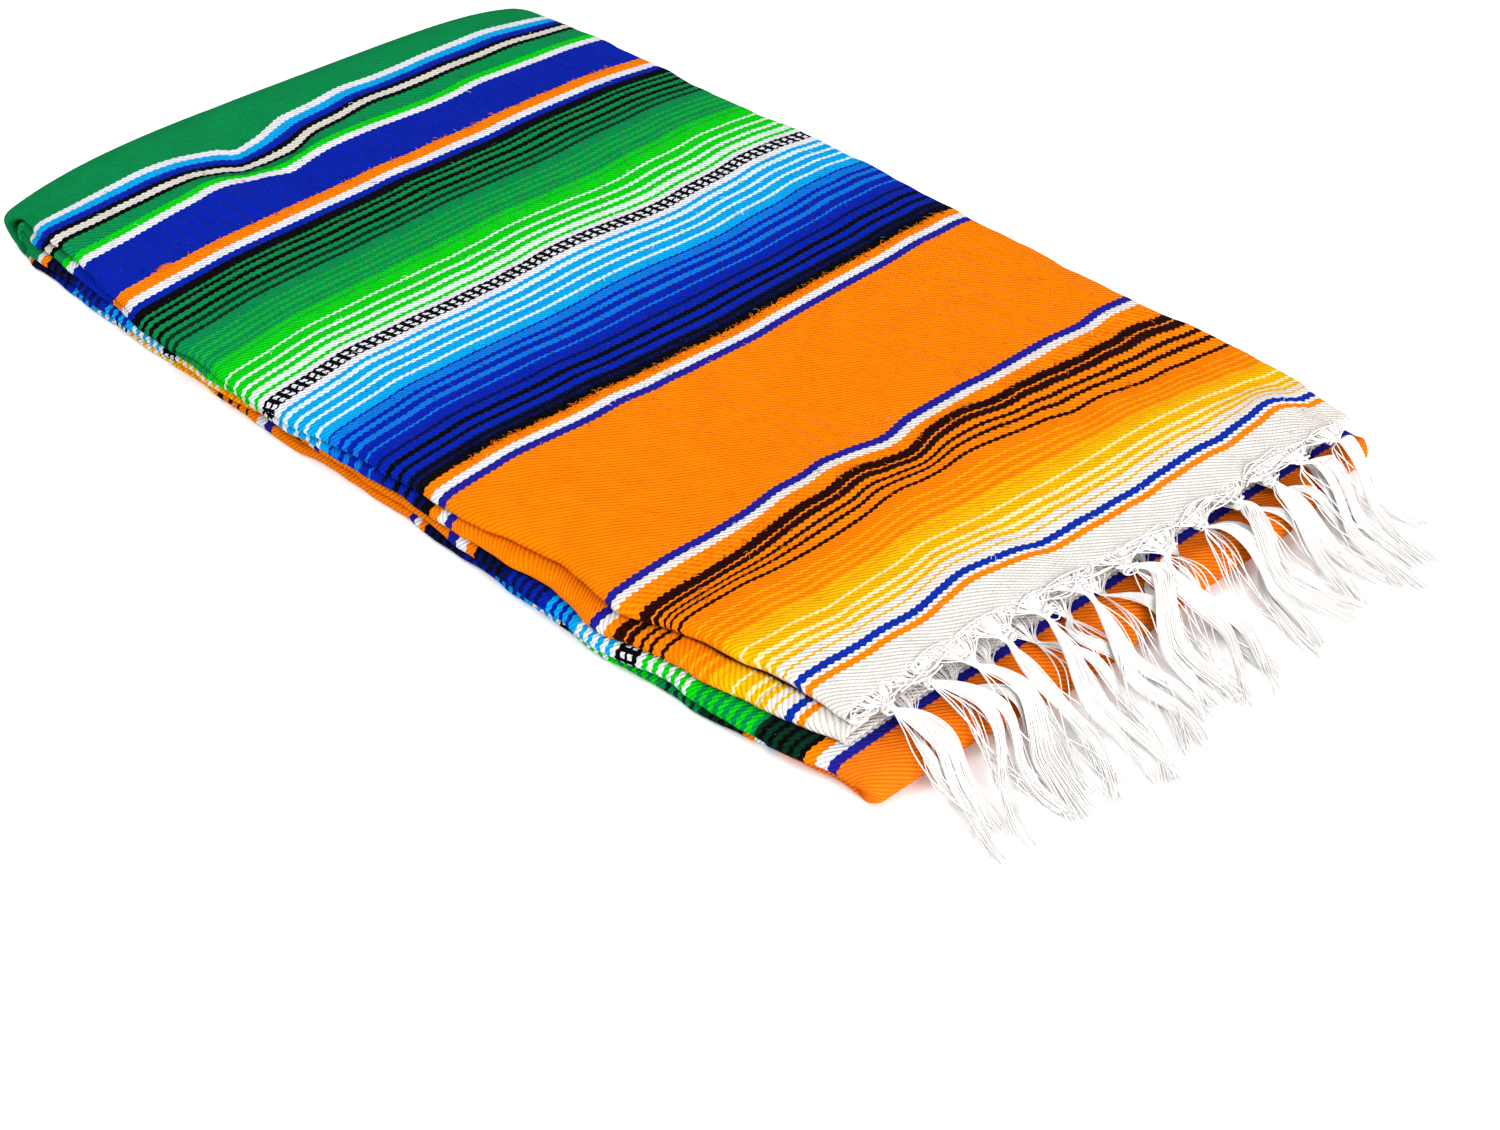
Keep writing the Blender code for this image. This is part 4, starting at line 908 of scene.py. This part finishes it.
# Nap: fine hairs that stand off the top and cross the stripes.
nap = {
    "count": 4200, "radius": 0.00013, "length": (0.0016, 0.0046), "bend": 1.3,
    "xs": (-0.172, 0.172), "ys": (0.008, 0.570),
    "points": 5, "sides": 3, "rise": 0.0007, "clear": 0.00012, "seed": 51,
    # nearly half of them grow at the borders of the black, the orange and the brown lines
    "borders": (0.2459, 0.2459, 0.2459, 0.2517, 0.2517, 0.4912, 0.121, 0.1165),
    "borderSpread": 0.0012, "borderShare": 0.45,
    # one tuft of orange stands up into the blue near the left edge
    "tuft": 80, "tuftX": -0.157, "tuftSpread": 0.0022, "tuftY": 0.4905, "tuftAt": 0.487, "tuftTurn": 0.5,
}


def napHairs():
    # each hair goes on from its root in small steps, while its heading turns evenly by its bend,
    # and rises by half a sine wave; all of it is dyed as the spot that its root is in
    chance = np.random.default_rng(nap["seed"])
    n = nap["count"]
    x0, y0 = chance.uniform(*nap["xs"], n), chance.uniform(*nap["ys"], n)
    border = chance.choice(nap["borders"], n) + chance.normal(0, nap["borderSpread"], n)
    place = border - topWarp(x0, border)
    place = border - topWarp(x0, place)
    y0 = np.where(chance.random(n) < nap["borderShare"], place, y0)
    heading = chance.uniform(0, 2 * np.pi, n)
    tuft = np.arange(n) < nap["tuft"]
    x0 = np.where(tuft, nap["tuftX"] + chance.normal(0, nap["tuftSpread"], n), x0)
    y0 = np.where(tuft, nap["tuftY"] - topWarp(x0, np.full(n, nap["tuftAt"])), y0)
    heading = np.where(tuft, np.pi / 2 + chance.normal(0, nap["tuftTurn"], n), heading)
    length = chance.uniform(*nap["length"], n)
    bend = chance.normal(0, nap["bend"], n)
    t = np.linspace(0, 1, nap["points"])
    turned = heading[:, None] + bend[:, None] * t
    x = x0[:, None] + np.cumsum(np.cos(turned), axis=1) * length[:, None] / nap["points"]
    y = y0[:, None] + np.cumsum(np.sin(turned), axis=1) * length[:, None] / nap["points"]
    paths = lay(np.stack([x, y, np.full_like(x, stack["height"])], -1))
    rise = nap["rise"] * np.sin(np.pi * t) * chance.uniform(0.3, 1.0, n)[:, None]
    paths[..., 2] += nap["clear"] + rise
    hairs = yarnMesh("napHairs", paths, nap["radius"], nap["sides"])
    uv = np.repeat(np.stack([x0, y0 + topWarp(x0, y0)], -1), nap["points"] * nap["sides"], axis=0)
    loops = np.empty(len(hairs.data.loops), np.int32)
    hairs.data.loops.foreach_get("vertex_index", loops)
    hairs.data.uv_layers["cloth"].data.foreach_set("uv", uv[loops].astype(np.float32).ravel())
    return hairs


hairs = dress(napHairs(), topMaterial, "striped_cloth")
print("nap hairs,", len(hairs.data.polygons), "faces")

# Floor, light and camera.
studio = {
    "floorHalf": 6.0, "paper": ("f4f4f4", "fafafa"), "paperScale": 3.0, "sky": 0.95,
    # place, aim, size and power
    "keyLight": ((-1.6, 0.9, 2.4), (0, 0, 0), 1.8, 58),
    "fillLight": ((1.2, -1.8, 2.0), (0, 0, 0), 1.6, 20),
    "frontLight": ((-0.5, -2.4, 0.7), (0, -0.3, 0), 1.4, 80),
    "lens": 86.4, "sensor": 36.0,       # mm
    "cameraPlace": (-1.0914, -1.0478, 1.0035), "cameraTurn": (53.646, -1.929, -45.811),
}


def paperMaterial(name):
    # Matte uncoated paper rolled out as a studio floor: one pale tone, a touch uneven.
    material, tree = newMaterial(name)
    place = addNode(tree, "TexCoord", output="Object")
    noise = addNode(tree, "TexNoise", {"Vector": place, "Scale": studio["paperScale"], "Detail": 2.0})
    dark, light = (linear(code) for code in studio["paper"])
    colour = addNode(tree, "Mix", {0: noise, 6: dark, 7: light}, output=2, data_type="RGBA")
    shader = addNode(tree, "BsdfPrincipled", {"Base Color": colour, "Roughness": 0.9})
    addNode(tree, "OutputMaterial", {"Surface": shader})
    return material


half = studio["floorHalf"]
floorMesh = bpy.data.meshes.new("floor")
floorMesh.from_pydata([(-half, -half, 0), (half, -half, 0), (half, half, 0), (-half, half, 0)], [],
                      [(0, 1, 2, 3)])
floor = bpy.data.objects.new("floor", floorMesh)
floor.data.materials.append(paperMaterial("pale studio paper"))
scene.collection.objects.link(floor)

world = bpy.data.worlds.new("white studio")
world.use_nodes = True
background = world.node_tree.nodes["Background"]
background.inputs["Color"].default_value = (1.0, 1.0, 1.0, 1.0)
background.inputs["Strength"].default_value = studio["sky"]
scene.world = world


def softLight(name, place, aim, size, power):
    # a round area light, tilted down by atan2(flat distance, drop) towards its aim
    light = bpy.data.lights.new(name, "AREA")
    light.shape = "DISK"
    light.size = size
    light.energy = power
    obj = bpy.data.objects.new(name, light)
    obj.location = place
    direction = np.array(aim) - np.array(place)
    flat = math.hypot(direction[0], direction[1])
    obj.rotation_euler = (math.atan2(flat, -direction[2]), 0.0,
                          math.atan2(direction[1], direction[0]) - math.pi / 2)
    scene.collection.objects.link(obj)


for name in ("keyLight", "fillLight", "frontLight"):
    softLight(name, *studio[name])

camera = bpy.data.cameras.new("camera")
camera.lens = studio["lens"]
camera.sensor_width = studio["sensor"]
cameraObject = bpy.data.objects.new("camera", camera)
cameraObject.location = studio["cameraPlace"]
cameraObject.rotation_euler = tuple(math.radians(angle) for angle in studio["cameraTurn"])
scene.collection.objects.link(cameraObject)
scene.camera = cameraObject
scene.view_settings.view_transform = "Standard"
print("floor, lights and camera placed")
